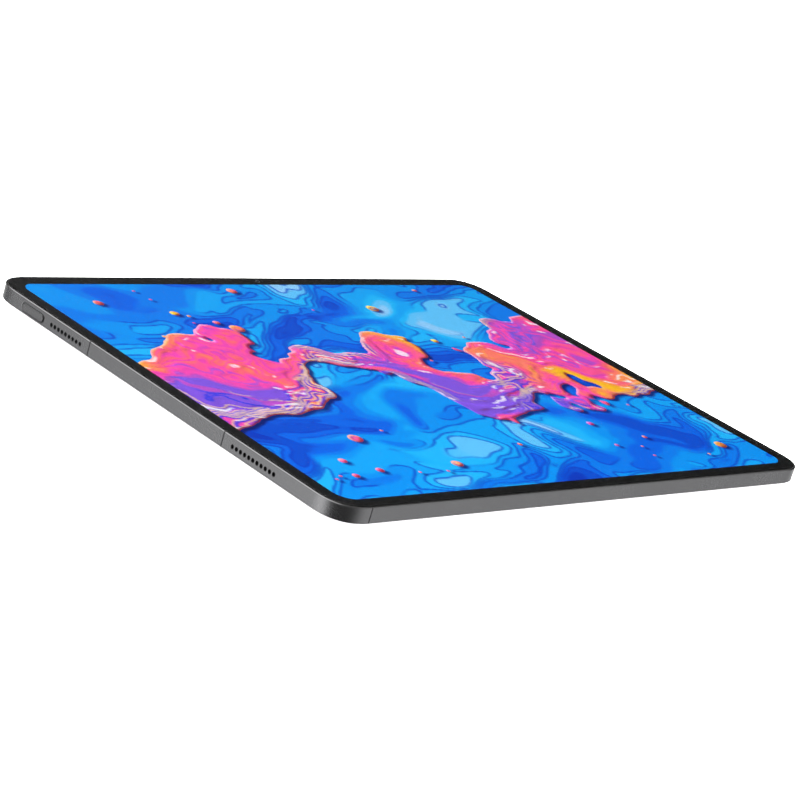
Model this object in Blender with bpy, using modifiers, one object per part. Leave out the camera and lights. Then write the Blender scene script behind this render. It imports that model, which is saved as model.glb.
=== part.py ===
"""A slab tablet computer, built as an assembly of separate pieces.

Frame: +X runs along the long side, +Y points to the long side that carries the front camera, and +Z points
out of the display. The origin is the middle of the housing's flat back. "Left" is -X, "right" +X, "near" -Y
and "far" +Y. Everything is in metres.
"""

import math

import bmesh
import bpy
from mathutils import Matrix, Vector

MM = 0.001

# ---- Overall size ---------------------------------------------------------------------------------------
WIDTH = 279.0 * MM
HEIGHT = 212.8 * MM
THICKNESS = 6.3 * MM
CORNER_RADIUS = 13.6 * MM

# ---- Clearances -----------------------------------------------------------------------------------------
FIT_GAP = 0.3 * MM  # between pieces that seat on or beside each other
BOND_GAP = 0.2 * MM  # a glue film between bonded layers
INLAY_GAP = 0.1 * MM  # round a moulded or pressed-in piece
SLIDE_GAP = 0.15 * MM  # round a button in its slot
OVERSHOOT = 1.0 * MM  # how far a cutter runs past the face that it opens
LAP = 0.1 * MM  # how far the shapes of one piece run into each other

# ---- Housing --------------------------------------------------------------------------------------------
BACK_WALL = 0.8 * MM
SIDE_WALL = 2.6 * MM
RIM_WALL = 0.6 * MM  # the thin lip beside the glass
RIM_CHAMFER = 0.25 * MM
BACK_FILLET = 0.25 * MM
GLASS_PROUD = 0.1 * MM

# ---- Display stack, from the glass down -----------------------------------------------------------------
GLASS_THICKNESS = 0.6 * MM
LCD_THICKNESS = 0.5 * MM
GUIDE_THICKNESS = 0.4 * MM
TRAY_SHEET = 0.2 * MM
TAPE_THICKNESS = 0.3 * MM
BEZEL = 7.4 * MM  # from the tablet's edge to the lit picture
LCD_BORDER = 0.5 * MM
LCD_DRIVER_LEDGE = 2.5 * MM  # the wider border along the near side, under the driver chips
LED_BAR_DEPTH = 1.2 * MM

# ---- Features in the side walls -------------------------------------------------------------------------
SIDE_FEATURE_SHARE = 0.43  # height of holes and buttons, as a share of the thickness
SPEAKER_HOLE_RADIUS = 0.8 * MM
SPEAKER_HOLE_PITCH = 2.33 * MM
FAR_HOLES = 9
NEAR_HOLES = 11
FIRST_HOLE_FROM_EDGE = 59.85 * MM  # the hole nearest the middle, from the long edge on its side
STRIP_FROM_EDGE = 65.5 * MM  # antenna line in the short side, from the long edge
STRIP_FROM_END = 14.4 * MM  # antenna line in the long side, from the short edge
STRIP_WIDTH = 0.6 * MM
STRIP_BEND = 5.0 * MM
STRIP_BACK_DEPTH = 0.4 * MM

# ---- Buttons --------------------------------------------------------------------------------------------
BUTTON_PROUD = 0.35 * MM
BUTTON_TRAVEL = 0.3 * MM
BUTTON_CAP_DEPTH = 1.5 * MM  # how far the wall guides the cap
BUTTON_FLANGE = 0.5 * MM
BUTTON_FLANGE_LIP = 0.9 * MM  # how far the flange stands out past the cap's ends
BUTTON_STEM = 0.6 * MM
POWER_LENGTH = 14.0 * MM
POWER_WIDTH = 3.3 * MM
POWER_FROM_EDGE = 28.9 * MM  # from the far edge to the button's middle
VOLUME_LENGTH = 11.0 * MM
VOLUME_WIDTH = 2.8 * MM
VOLUME_FROM_END = 40.0 * MM  # from the left edge to the first volume button's middle
VOLUME_SPACING = 15.0 * MM
SWITCH_SIZE = Vector((3.6, 2.4, 0.45)) * MM
BRACKET_SHEET = 0.4 * MM
BRACKET_EAR = 1.4 * MM

# ---- USB socket in the right side -----------------------------------------------------------------------
PORT_SHARE = 0.4  # height of the socket, as a share of the thickness
PORT_OPENING = Vector((8.34, 2.56)) * MM
PORT_SHEET = 0.3 * MM
PORT_RECESS = 0.2 * MM
PORT_BACK_WALL = 0.4 * MM
TONGUE_SIZE = Vector((6.69, 0.7, 4.6)) * MM

# ---- Cameras, sensor and microphones --------------------------------------------------------------------
FRONT_CAMERA_BODY = 4.0 * MM
FRONT_BARREL_RADIUS = 0.95 * MM
LIGHT_SENSOR_SIZE = Vector((2.4, 2.0, 0.8)) * MM
LIGHT_SENSOR_OFFSET = 11.0 * MM
ISLAND_LENGTH = 32.0 * MM
ISLAND_WIDTH = 15.0 * MM
ISLAND_PROUD = 1.3 * MM
ISLAND_EDGE = 0.4 * MM
ISLAND_FROM_END = 34.5 * MM
ISLAND_FROM_EDGE = 19.0 * MM
LENS_OFFSET = -8.3 * MM  # from the island's middle, along X
LENS_RADIUS = 4.4 * MM
LENS_THICKNESS = 0.5 * MM
LENS_RECESS = 0.15 * MM
TRIM_RING_WIDTH = 0.7 * MM
REAR_BARREL_RADIUS = 3.4 * MM
REAR_CAMERA_BODY = 10.5 * MM
FLASH_OFFSET = 8.3 * MM
FLASH_RADIUS = 2.2 * MM
FLASH_LED_SIZE = Vector((2.0, 2.0, 0.6)) * MM
MIC_HOLE_RADIUS = 0.4 * MM
MIC_OFFSET = 45.0 * MM
MIC_SIZE = Vector((4.0, 3.0, 1.2)) * MM

# ---- Power, boards and sound ----------------------------------------------------------------------------
CELL_GAP = 14.0 * MM  # lane between the two battery cells
SIDE_LANE = 6.0 * MM  # lane between a battery cell and the speakers
CELL_FROM_NEAR_WALL = 26.0 * MM
CELL_CORNER = 1.5 * MM
SPEAKER_DEPTH = 16.5 * MM
SPEAKER_MARGIN = 1.2 * MM
MESH_THICKNESS = 0.2 * MM
MESH_MARGIN = 0.7 * MM
BOARD_THICKNESS = 0.7 * MM
BOARD_STANDOFF = 0.5 * MM
BOARD_SIZE = Vector((150.0, 38.0)) * MM
BOARD_FROM_FAR_WALL = 7.8 * MM
BOARD_FROM_CAMERA = 16.2 * MM
BATTERY_BOARD_SIZE = Vector((60.0, 4.4)) * MM
USB_BOARD_SIZE = Vector((13.5, 24.0)) * MM
DRIVER_BOARD_SIZE = Vector((180.0, 7.0)) * MM
PROCESSOR_SHIELD = Vector((44.0, 30.0)) * MM
RADIO_SHIELD = Vector((26.0, 24.0)) * MM
FLEX_THICKNESS = 0.15 * MM
FLEX_WIDTH = 9.0 * MM
SCREW_HEAD_RADIUS = 1.3 * MM
SCREW_HEAD_HEIGHT = 0.45 * MM
SCREW_RADIUS = 0.55 * MM
SCREW_INSET = 4.0 * MM
BOSS_RADIUS = 1.9 * MM
ANTENNA_SIZE = Vector((6.0, 18.0)) * MM
CONTACT_FROM_NEAR = 20.0 * MM
CONTACT_SPACING = 6.0 * MM
CONTACT_RADIUS = 1.4 * MM
CONTACT_RECESS = 0.1 * MM
CONTACT_BLOCK = Vector((20.0, 6.0, 0.9)) * MM

# ---- Levels and edges that follow from the sizes --------------------------------------------------------
half_width, half_height = WIDTH / 2, HEIGHT / 2
rim_top = THICKNESS - GLASS_PROUD
glass_bottom = THICKNESS - GLASS_THICKNESS
ledge_top = glass_bottom - TAPE_THICKNESS - 2 * INLAY_GAP
lcd_top = glass_bottom - BOND_GAP
guide_top = lcd_top - LCD_THICKNESS - INLAY_GAP
tray_floor = guide_top - GUIDE_THICKNESS - INLAY_GAP
tray_bottom = tray_floor - TRAY_SHEET
ceiling = tray_bottom - FIT_GAP  # nothing under the display stands higher
floor_seat = BACK_WALL + BOND_GAP  # pieces glued to the back start here
inner_width, inner_height = half_width - SIDE_WALL, half_height - SIDE_WALL
board_bottom = BACK_WALL + BOARD_STANDOFF
board_top = board_bottom + BOARD_THICKNESS
side_z = SIDE_FEATURE_SHARE * THICKNESS
port_z = max(PORT_SHARE * THICKNESS, BACK_WALL + INLAY_GAP + PORT_SHEET + PORT_OPENING.y / 2)
lcd_corner = CORNER_RADIUS - (BEZEL - LCD_BORDER)

far_hole_row = half_height - FIRST_HOLE_FROM_EDGE + (FAR_HOLES - 1) * SPEAKER_HOLE_PITCH / 2
near_hole_row = -half_height + FIRST_HOLE_FROM_EDGE - (NEAR_HOLES - 1) * SPEAKER_HOLE_PITCH / 2
island_centre = Vector((-half_width + ISLAND_FROM_END, half_height - ISLAND_FROM_EDGE, 0))
rear_lens = island_centre + Vector((LENS_OFFSET, 0, 0))
flash_centre = island_centre + Vector((FLASH_OFFSET, 0, 0))
front_camera_y = half_height - max(BEZEL / 2, SIDE_WALL + FRONT_BARREL_RADIUS + FIT_GAP)
contact_y = -half_height + CONTACT_FROM_NEAR
board_left = rear_lens.x + BOARD_FROM_CAMERA + REAR_CAMERA_BODY / 2
board_centre = Vector((board_left + BOARD_SIZE.x / 2, inner_height - BOARD_FROM_FAR_WALL - BOARD_SIZE.y / 2))
far_speaker_length = (FAR_HOLES - 1) * SPEAKER_HOLE_PITCH + 2 * (SPEAKER_HOLE_RADIUS + SPEAKER_MARGIN)
near_speaker_length = (NEAR_HOLES - 1) * SPEAKER_HOLE_PITCH + 2 * (SPEAKER_HOLE_RADIUS + SPEAKER_MARGIN)
speaker_inner = inner_width - 2 * FIT_GAP - MESH_THICKNESS - SPEAKER_DEPTH
cell_right = speaker_inner - SIDE_LANE
cell_near = -inner_height + CELL_FROM_NEAR_WALL
cell_far = board_centre.y - BOARD_SIZE.y / 2 - BATTERY_BOARD_SIZE.y - 2 * FIT_GAP

# How a wall's own frame lies: its Z points out of the wall and its Y points up.
LEFT_WALL = Matrix(((0, 0, -1), (-1, 0, 0), (0, 1, 0))).to_4x4()
RIGHT_WALL = Matrix(((0, 0, 1), (1, 0, 0), (0, 1, 0))).to_4x4()
FAR_WALL = Matrix(((-1, 0, 0), (0, 0, 1), (0, 1, 0))).to_4x4()


# ---- Scene and materials --------------------------------------------------------------------------------
def clear_scene():
    for obj in list(bpy.data.objects):
        bpy.data.objects.remove(obj)


def new_collection(name):
    collection = bpy.data.collections.new(name)
    bpy.context.scene.collection.children.link(collection)
    return collection


def finish(name, colour, roughness, metallic=0.0):
    material = bpy.data.materials.new(name)
    material.use_nodes = True
    shader = material.node_tree.nodes["Principled BSDF"]
    shader.inputs["Base Color"].default_value = (*colour, 1.0)
    shader.inputs["Roughness"].default_value = roughness
    shader.inputs["Metallic"].default_value = metallic
    material.diffuse_color = (*colour, 1.0)
    return material


clear_scene()
PARTS = new_collection("tablet_computer")
HELPERS = new_collection("cutters")

GREY_ALUMINIUM = finish("grey_aluminium", (0.16, 0.16, 0.165), 0.38, 1.0)
DARK_PLASTIC = finish("dark_plastic", (0.05, 0.05, 0.055), 0.5)
BLACK_GLASS = finish("black_glass", (0.012, 0.012, 0.013), 0.05)
LIT_SCREEN = finish("lit_screen", (0.02, 0.30, 0.85), 0.2)
CLEAR_PLASTIC = finish("clear_plastic", (0.85, 0.87, 0.88), 0.15)
STEEL = finish("steel", (0.55, 0.55, 0.56), 0.3, 1.0)
CIRCUIT_BOARD = finish("circuit_board", (0.02, 0.09, 0.05), 0.45)
POLYIMIDE = finish("polyimide", (0.30, 0.13, 0.03), 0.4)
BATTERY_FOIL = finish("battery_foil", (0.09, 0.09, 0.10), 0.45, 0.6)
BLACK_FOAM = finish("black_foam", (0.015, 0.015, 0.015), 0.9)
GOLD = finish("gold", (0.85, 0.58, 0.22), 0.25, 1.0)


# ---- Making meshes --------------------------------------------------------------------------------------
def block(size, corner=0.0, corner_steps=4, top=(0.0, 1), bottom=(0.0, 1)):
    """A box about its own middle. Upright edges are rounded, and the top and bottom rims are bevelled."""
    size = Vector(size)
    shape = bmesh.new()
    bmesh.ops.create_cube(shape, size=1.0)
    bmesh.ops.scale(shape, vec=size, verts=shape.verts)
    if corner:
        upright = [e for e in shape.edges if abs(e.verts[0].co.z - e.verts[1].co.z) > size.z / 2]
        bmesh.ops.bevel(
            shape, geom=upright, offset=corner, segments=corner_steps, profile=0.5, affect="EDGES"
        )
    for side, (width, steps) in ((1, top), (-1, bottom)):
        if not width:
            continue
        level = side * size.z / 2
        rim = [e for e in shape.edges if all(abs(v.co.z - level) < width / 10 for v in e.verts)]
        bmesh.ops.bevel(shape, geom=rim, offset=width, segments=steps, profile=0.5, affect="EDGES")
    return as_mesh(shape)


def cylinder(radius, height, sides):
    """A closed cylinder about its own middle, standing along Z."""
    shape = bmesh.new()
    bmesh.ops.create_cone(
        shape, cap_ends=True, segments=sides, radius1=radius, radius2=radius, depth=height
    )
    return as_mesh(shape)


def as_mesh(shape):
    mesh = bpy.data.meshes.new("mesh")
    shape.to_mesh(mesh)
    shape.free()
    return mesh


def pill(length, width, steps=8):
    """Outline of a slot with round ends, as (x, y) points about its middle."""
    radius, straight = width / 2, (length - width) / 2
    turn = [math.pi * (i / steps - 0.5) for i in range(steps + 1)]
    right = [(straight + radius * math.cos(a), radius * math.sin(a)) for a in turn]
    return right + [(-x, -y) for x, y in right]


def circle(radius, sides=24, centre=(0.0, 0.0)):
    turn = [2 * math.pi * i / sides for i in range(sides)]
    return [(centre[0] + radius * math.cos(a), centre[1] + radius * math.sin(a)) for a in turn]


def rounded_rectangle(size_x, size_y, radius, steps=6, centre=(0.0, 0.0)):
    """Outline of a rectangle with round corners, as (x, y) points."""
    points = []
    for quarter, (sx, sy) in enumerate(((1, 1), (-1, 1), (-1, -1), (1, -1))):
        cx, cy = centre[0] + sx * (size_x / 2 - radius), centre[1] + sy * (size_y / 2 - radius)
        for i in range(steps + 1):
            a = math.pi / 2 * (quarter + i / steps)
            points.append((cx + radius * math.cos(a), cy + radius * math.sin(a)))
    return points


def plate(outlines, thickness):
    """A flat plate about its mid-plane from a filled 2D curve. Outlines inside the first one are holes."""
    curve = bpy.data.curves.new("outline", "CURVE")
    curve.dimensions = "2D"
    curve.fill_mode = "BOTH"
    curve.extrude = thickness / 2
    for outline in outlines:
        spline = curve.splines.new("POLY")
        spline.points.add(len(outline) - 1)
        spline.use_cyclic_u = True
        for point, (x, y) in zip(spline.points, outline):
            point.co = (x, y, 0, 1)
    guide = bpy.data.objects.new("outline", curve)
    HELPERS.objects.link(guide)
    bpy.context.view_layer.update()
    evaluated = guide.evaluated_get(bpy.context.evaluated_depsgraph_get())
    mesh = bpy.data.meshes.new_from_object(evaluated)
    bpy.data.objects.remove(guide)
    shape = bmesh.new()
    shape.from_mesh(mesh)
    bmesh.ops.remove_doubles(shape, verts=shape.verts, dist=0.001 * MM)
    bmesh.ops.recalc_face_normals(shape, faces=shape.faces)
    shape.to_mesh(mesh)
    shape.free()
    mesh.materials.clear()
    return mesh


# ---- Placing pieces -------------------------------------------------------------------------------------
def place(name, mesh, location, parent=None):
    obj = bpy.data.objects.new(name, mesh)
    obj.location = location
    obj.parent = parent
    return obj


def part(name, mesh, location, material, parent=None):
    """A piece of the tablet."""
    obj = place(name, mesh, location, parent)
    obj.data.materials.append(material)
    obj.data.shade_smooth()
    obj.data.set_sharp_from_angle(angle=math.radians(35))
    PARTS.objects.link(obj)
    return obj


def helper(name, mesh, location, group, parent=None):
    """A shape that only cuts, joins or limits a piece."""
    obj = place(name, mesh, location, parent)
    obj.hide_render = True
    obj.display_type = "WIRE"
    group.objects.link(obj)
    return obj


def helper_group(name):
    group = bpy.data.collections.new(name)
    HELPERS.children.link(group)
    return group


def combine(obj, operation, group):
    """Cuts, joins or limits a piece by every shape in a group of helpers."""
    modifier = obj.modifiers.new(group.name, "BOOLEAN")
    modifier.operation = operation
    modifier.operand_type = "COLLECTION"
    modifier.collection = group
    modifier.solver = "EXACT"


def wall_point(name, wall, location):
    """An empty on a wall's outer face, whose Z points out of the wall."""
    empty = bpy.data.objects.new(name, None)
    empty.matrix_world = Matrix.Translation(location) @ wall
    empty.empty_display_size = 2 * MM
    HELPERS.objects.link(empty)
    return empty


def between(low, high):
    """(size, middle) of the box between two corners."""
    low, high = Vector(low), Vector(high)
    return high - low, (low + high) / 2


# ---- Housing and antenna strips -------------------------------------------------------------------------
def housing_form(inset=0.0, base=0.0, chamfer=RIM_CHAMFER, fillet=BACK_FILLET):
    """The tablet's outer form, taken in by an inset at the sides and starting at a height. Returns (mesh, z)."""
    height = rim_top - base
    mesh = block(
        (WIDTH - 2 * inset, HEIGHT - 2 * inset, height),
        corner=CORNER_RADIUS - inset,
        corner_steps=10,
        top=(chamfer, 1),
        bottom=(fillet, 2),
    )
    return mesh, base + height / 2


def recess(name, wall, base, group):
    """Cuts an upright-sided hollow, leaving a wall, from a height up through the open front."""
    depth = THICKNESS + OVERSHOOT - base
    mesh = block((WIDTH - 2 * wall, HEIGHT - 2 * wall, depth), corner=CORNER_RADIUS - wall, corner_steps=10)
    return helper(name, mesh, (0, 0, base + depth / 2), group)


def strip_band(side, width):
    """Upright band along an antenna line: in from the left edge, round a bend, and out of a long side."""
    start = Vector((-half_width - OVERSHOOT, side * (half_height - STRIP_FROM_EDGE)))
    bend = Vector((-half_width + STRIP_FROM_END, start.y))
    end = Vector((bend.x, side * (half_height + OVERSHOOT)))
    steps = 6
    middle = bend + Vector((-STRIP_BEND, side * STRIP_BEND))
    arc = [math.pi / 2 * i / steps for i in range(steps + 1)]
    turn = [middle + STRIP_BEND * Vector((math.sin(a), -side * math.cos(a))) for a in arc]
    path = [start, *turn, end]
    low, high = -OVERSHOOT, THICKNESS + OVERSHOOT
    shape = bmesh.new()
    lower = [shape.verts.new((*point, low)) for point in path]
    edges = [shape.edges.new(pair) for pair in zip(lower, lower[1:])]
    raised = bmesh.ops.extrude_edge_only(shape, edges=edges)["geom"]
    rising = [v for v in raised if isinstance(v, bmesh.types.BMVert)]
    bmesh.ops.translate(shape, vec=(0, 0, high - low), verts=rising)
    mesh = as_mesh(shape)
    return mesh, width


def thicken(obj, width):
    modifier = obj.modifiers.new("band", "SOLIDIFY")
    modifier.thickness = width
    modifier.offset = 0.0
    modifier.use_even_offset = True


def core_group(name, gap):
    """What an antenna strip, or its groove with a gap, leaves untouched inside the housing."""
    group = helper_group(name)
    mesh, z = housing_form(RIM_WALL + gap, STRIP_BACK_DEPTH + gap, chamfer=0.0)
    mesh.transform(Matrix.Diagonal((1, 1, 1 + 2 * OVERSHOOT / rim_top, 1)))
    helper(name + "_form", mesh, (0, 0, z + OVERSHOOT), group)
    return group


def make_antenna_strips(housing_cuts):
    outer = helper_group("strip_limit")
    mesh, z = housing_form()
    helper("strip_limit_form", mesh, (0, 0, z), outer)
    strip_core = core_group("strip_core", 0.0)
    groove_core = core_group("groove_core", INLAY_GAP)
    for name, side in (("near", -1), ("far", 1)):
        mesh, width = strip_band(side, STRIP_WIDTH)
        strip = part(f"antenna_strip_{name}", mesh, (0, 0, 0), DARK_PLASTIC)
        thicken(strip, width)
        combine(strip, "INTERSECT", outer)
        combine(strip, "DIFFERENCE", strip_core)
        mesh, width = strip_band(side, STRIP_WIDTH + 2 * INLAY_GAP)
        groove = helper(f"groove_{name}", mesh, (0, 0, 0), housing_cuts)
        thicken(groove, width)
        combine(groove, "DIFFERENCE", groove_core)


def speaker_rows():
    """(name, side of X, middle of the row of holes, number of holes) for each of the four speakers."""
    for x_name, side in (("left", -1), ("right", 1)):
        yield f"far_{x_name}", side, far_hole_row, FAR_HOLES
        yield f"near_{x_name}", side, near_hole_row, NEAR_HOLES


def cut_speaker_holes(group):
    depth = SIDE_WALL + 2 * OVERSHOOT
    for name, side, middle, count in speaker_rows():
        wall = RIGHT_WALL if side > 0 else LEFT_WALL
        for i in range(count):
            y = middle + (i - (count - 1) / 2) * SPEAKER_HOLE_PITCH
            at = wall_point(f"hole_{name}_{i}", wall, (side * (half_width - SIDE_WALL / 2), y, side_z))
            helper(f"hole_cut_{name}_{i}", cylinder(SPEAKER_HOLE_RADIUS, depth, 12), (0, 0, 0), group, at)


def screw_places():
    """The four corners of the logic board, in from its edges."""
    for x_name, sx in (("left", -1), ("right", 1)):
        for y_name, sy in (("near", -1), ("far", 1)):
            x = board_centre.x + sx * (BOARD_SIZE.x / 2 - SCREW_INSET)
            y = board_centre.y + sy * (BOARD_SIZE.y / 2 - SCREW_INSET)
            yield f"{y_name}_{x_name}", x, y


def button_places():
    """(name, wall, location of the middle of its cap, length, width) for each button."""
    bracket_reach = POWER_LENGTH / 2 + BUTTON_FLANGE_LIP + 2 * FIT_GAP + BRACKET_EAR
    clear_of_speaker = far_hole_row + far_speaker_length / 2 + bracket_reach
    power_y = max(half_height - POWER_FROM_EDGE, clear_of_speaker)
    yield "power", LEFT_WALL, (-half_width, power_y, side_z), POWER_LENGTH, POWER_WIDTH
    first = -half_width + VOLUME_FROM_END
    for i, name in enumerate(("volume_up", "volume_down")):
        at = (first + i * VOLUME_SPACING, half_height, side_z)
        yield name, FAR_WALL, at, VOLUME_LENGTH, VOLUME_WIDTH


def upright_cut(name, outline, low, high, group, x=0.0, y=0.0):
    return helper(name, plate([outline], high - low), (x, y, (low + high) / 2), group)


def cut_button_slots(group):
    for name, wall, location, length, width in button_places():
        at = wall_point(f"{name}_seat", wall, location)
        gap = 2 * SLIDE_GAP
        depth = SIDE_WALL + 2 * OVERSHOOT
        slot = plate([pill(length + gap, width + gap)], depth)
        helper(f"{name}_slot", slot, (0, 0, OVERSHOOT - depth / 2), group, at)
        depth = SIDE_WALL - BUTTON_CAP_DEPTH + OVERSHOOT
        pocket = block((length + 2 * BUTTON_FLANGE_LIP + gap, width + gap, depth))
        helper(f"{name}_pocket", pocket, (0, 0, -BUTTON_CAP_DEPTH - depth / 2), group, at)


def cut_port(group):
    at = wall_point("port_seat", RIGHT_WALL, (half_width, 0, port_z))
    depth = SIDE_WALL + 2 * OVERSHOOT
    grow = 2 * (PORT_SHEET + INLAY_GAP)
    opening = plate([pill(PORT_OPENING.x + grow, PORT_OPENING.y + grow)], depth)
    helper("port_cut", opening, (0, 0, OVERSHOOT - depth / 2), group, at)


def cut_microphone_holes(group):
    depth = SIDE_WALL + 2 * OVERSHOOT
    for name, side in (("left", -1), ("right", 1)):
        at = wall_point(f"mic_seat_{name}", FAR_WALL, (side * MIC_OFFSET, half_height, side_z))
        helper(f"mic_cut_{name}", cylinder(MIC_HOLE_RADIUS, depth, 10), (0, 0, OVERSHOOT - depth / 2), group, at)


def cut_back(group):
    """Seat of the camera island, openings behind the lens and flash, holes for contacts and screws."""
    seat = pill(ISLAND_LENGTH + 2 * INLAY_GAP, ISLAND_WIDTH + 2 * INLAY_GAP, 14)
    upright_cut("island_seat", seat, -OVERSHOOT, BACK_WALL / 2, group, island_centre.x, island_centre.y)
    for name, centre, radius in (("lens", rear_lens, REAR_BARREL_RADIUS), ("flash", flash_centre, FLASH_RADIUS)):
        hole = circle(radius + FIT_GAP)
        upright_cut(f"{name}_opening", hole, -OVERSHOOT, BACK_WALL + OVERSHOOT, group, centre.x, centre.y)
    for i in (-1, 0, 1):
        hole = circle(CONTACT_RADIUS + INLAY_GAP, 16)
        low, high = -OVERSHOOT, BACK_WALL + OVERSHOOT
        upright_cut(f"contact_hole_{i + 1}", hole, low, high, group, i * CONTACT_SPACING, contact_y)
    for name, x, y in screw_places():
        hole = circle(SCREW_RADIUS + INLAY_GAP, 12)
        upright_cut(f"screw_hole_{name}", hole, BACK_WALL / 2, board_bottom + OVERSHOOT, group, x, y)
    notch = FRONT_CAMERA_BODY + 2 * FIT_GAP
    size, middle = between(
        (-notch / 2, front_camera_y - notch / 2, BACK_WALL + BOND_GAP),
        (notch / 2, front_camera_y + notch / 2, THICKNESS + OVERSHOOT),
    )
    helper("front_camera_notch", block(size), middle, group)


def make_housing():
    mesh, z = housing_form()
    housing = part("rear_housing", mesh, (0, 0, z), GREY_ALUMINIUM)
    hollows = helper_group("hollows")
    recess("cavity", SIDE_WALL, BACK_WALL, hollows)
    recess("glass_seat", RIM_WALL, ledge_top, hollows)
    combine(housing, "DIFFERENCE", hollows)
    bosses = helper_group("bosses")
    for name, x, y in screw_places():
        low, high = BACK_WALL - LAP, board_bottom - INLAY_GAP
        upright_cut(f"boss_{name}", circle(BOSS_RADIUS, 16), low, high, bosses, x, y)
    combine(housing, "UNION", bosses)
    cuts = helper_group("housing_cuts")
    make_antenna_strips(cuts)
    cut_speaker_holes(cuts)
    cut_button_slots(cuts)
    cut_port(cuts)
    cut_microphone_holes(cuts)
    cut_back(cuts)
    combine(housing, "DIFFERENCE", cuts)


# ---- Glass and display ----------------------------------------------------------------------------------
def upright_block(name, wall, low, high, group, corner=None):
    corner = CORNER_RADIUS - wall if corner is None else corner
    mesh = block((WIDTH - 2 * wall, HEIGHT - 2 * wall, high - low), corner=corner, corner_steps=10)
    return helper(name, mesh, (0, 0, (low + high) / 2), group)


GASKET_OUTER = RIM_WALL + INLAY_GAP
GASKET_LIP = 0.3 * MM
glass_inset = GASKET_OUTER + GASKET_LIP + INLAY_GAP


def make_gasket():
    """A black frame with a flat foot under the glass and a thin lip round its edge."""
    low, high = ledge_top + INLAY_GAP, rim_top
    corner = CORNER_RADIUS - GASKET_OUTER
    size = (WIDTH - 2 * GASKET_OUTER, HEIGHT - 2 * GASKET_OUTER, high - low)
    mesh = block(size, corner=corner, corner_steps=10)
    gasket = part("glass_gasket", mesh, (0, 0, (low + high) / 2), BLACK_FOAM)
    cuts = helper_group("gasket_cuts")
    upright_block("gasket_window", SIDE_WALL, low - OVERSHOOT, high + OVERSHOOT, cuts)
    upright_block("gasket_step", GASKET_OUTER + GASKET_LIP, low + TAPE_THICKNESS, high + OVERSHOOT, cuts)
    combine(gasket, "DIFFERENCE", cuts)


def make_glass():
    size = (WIDTH - 2 * glass_inset, HEIGHT - 2 * glass_inset, GLASS_THICKNESS)
    mesh = block(size, corner=CORNER_RADIUS - glass_inset, corner_steps=10, top=(0.15 * MM, 1))
    part("cover_glass", mesh, (0, 0, THICKNESS - GLASS_THICKNESS / 2), BLACK_GLASS)


def display_box(low, high, inset=0.0, near=0.0):
    """(size, middle) of a layer of the display, whose near side may stop short by its own amount."""
    x = half_width - BEZEL + LCD_BORDER - inset
    y_far = half_height - BEZEL + LCD_BORDER - inset
    y_near = -(half_height - BEZEL + LCD_DRIVER_LEDGE) + inset + near
    return between((-x, y_near, low), (x, y_far, high))


def make_display():
    size, middle = display_box(lcd_top - LCD_THICKNESS, lcd_top)
    part("lcd_panel", block(size, corner=lcd_corner), middle, LIT_SCREEN)
    rim = TRAY_SHEET + INLAY_GAP
    led_side = LED_BAR_DEPTH + INLAY_GAP
    size, middle = display_box(tray_floor + INLAY_GAP, guide_top, rim, led_side)
    part("light_guide", block(size, corner=lcd_corner - rim), middle, CLEAR_PLASTIC)
    size, middle = display_box(tray_floor + INLAY_GAP, guide_top, rim)
    near_edge = middle.y - size.y / 2
    reach = size.x / 2 - lcd_corner
    size, middle = between(
        (-reach, near_edge, tray_floor + INLAY_GAP), (reach, near_edge + LED_BAR_DEPTH, guide_top)
    )
    part("led_bar", block(size), middle, CIRCUIT_BOARD)
    size, middle = display_box(tray_bottom, guide_top)
    tray = part("display_tray", block(size, corner=lcd_corner), middle, STEEL)
    cuts = helper_group("tray_cuts")
    size, middle = display_box(tray_floor, guide_top + OVERSHOOT, TRAY_SHEET)
    helper("tray_hollow", block(size, corner=lcd_corner - TRAY_SHEET), middle, cuts)
    combine(tray, "DIFFERENCE", cuts)


# ---- Buttons --------------------------------------------------------------------------------------------
def make_button(name, wall, location, length, width):
    """A cap in its slot, a flange that holds it in, and a stem that meets a dome switch."""
    seat = bpy.data.objects[f"{name}_seat"]
    cap_depth = BUTTON_PROUD + BUTTON_CAP_DEPTH + SLIDE_GAP + LAP
    cap = plate([pill(length, width)], cap_depth)
    cap.transform(Matrix.Translation((0, 0, BUTTON_PROUD - cap_depth / 2)))
    button = part(f"{name}_button", cap, (0, 0, 0), GREY_ALUMINIUM, seat)
    joins = helper_group(f"{name}_joins")
    top = -BUTTON_CAP_DEPTH - SLIDE_GAP
    flange = block((length + 2 * BUTTON_FLANGE_LIP, width, BUTTON_FLANGE))
    helper(f"{name}_flange", flange, (0, 0, top - BUTTON_FLANGE / 2), joins, seat)
    stem = cylinder(0.8 * MM, BUTTON_STEM + LAP, 16)
    foot = top - BUTTON_FLANGE - BUTTON_STEM
    helper(f"{name}_stem", stem, (0, 0, foot + (BUTTON_STEM + LAP) / 2), joins, seat)
    combine(button, "UNION", joins)
    face = foot - BUTTON_TRAVEL - INLAY_GAP
    switch = (0, 0, face - SWITCH_SIZE.z / 2)
    part(f"{name}_switch", block(SWITCH_SIZE, corner=0.4 * MM, corner_steps=2), switch, STEEL, seat)
    return face - SWITCH_SIZE.z - INLAY_GAP


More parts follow.
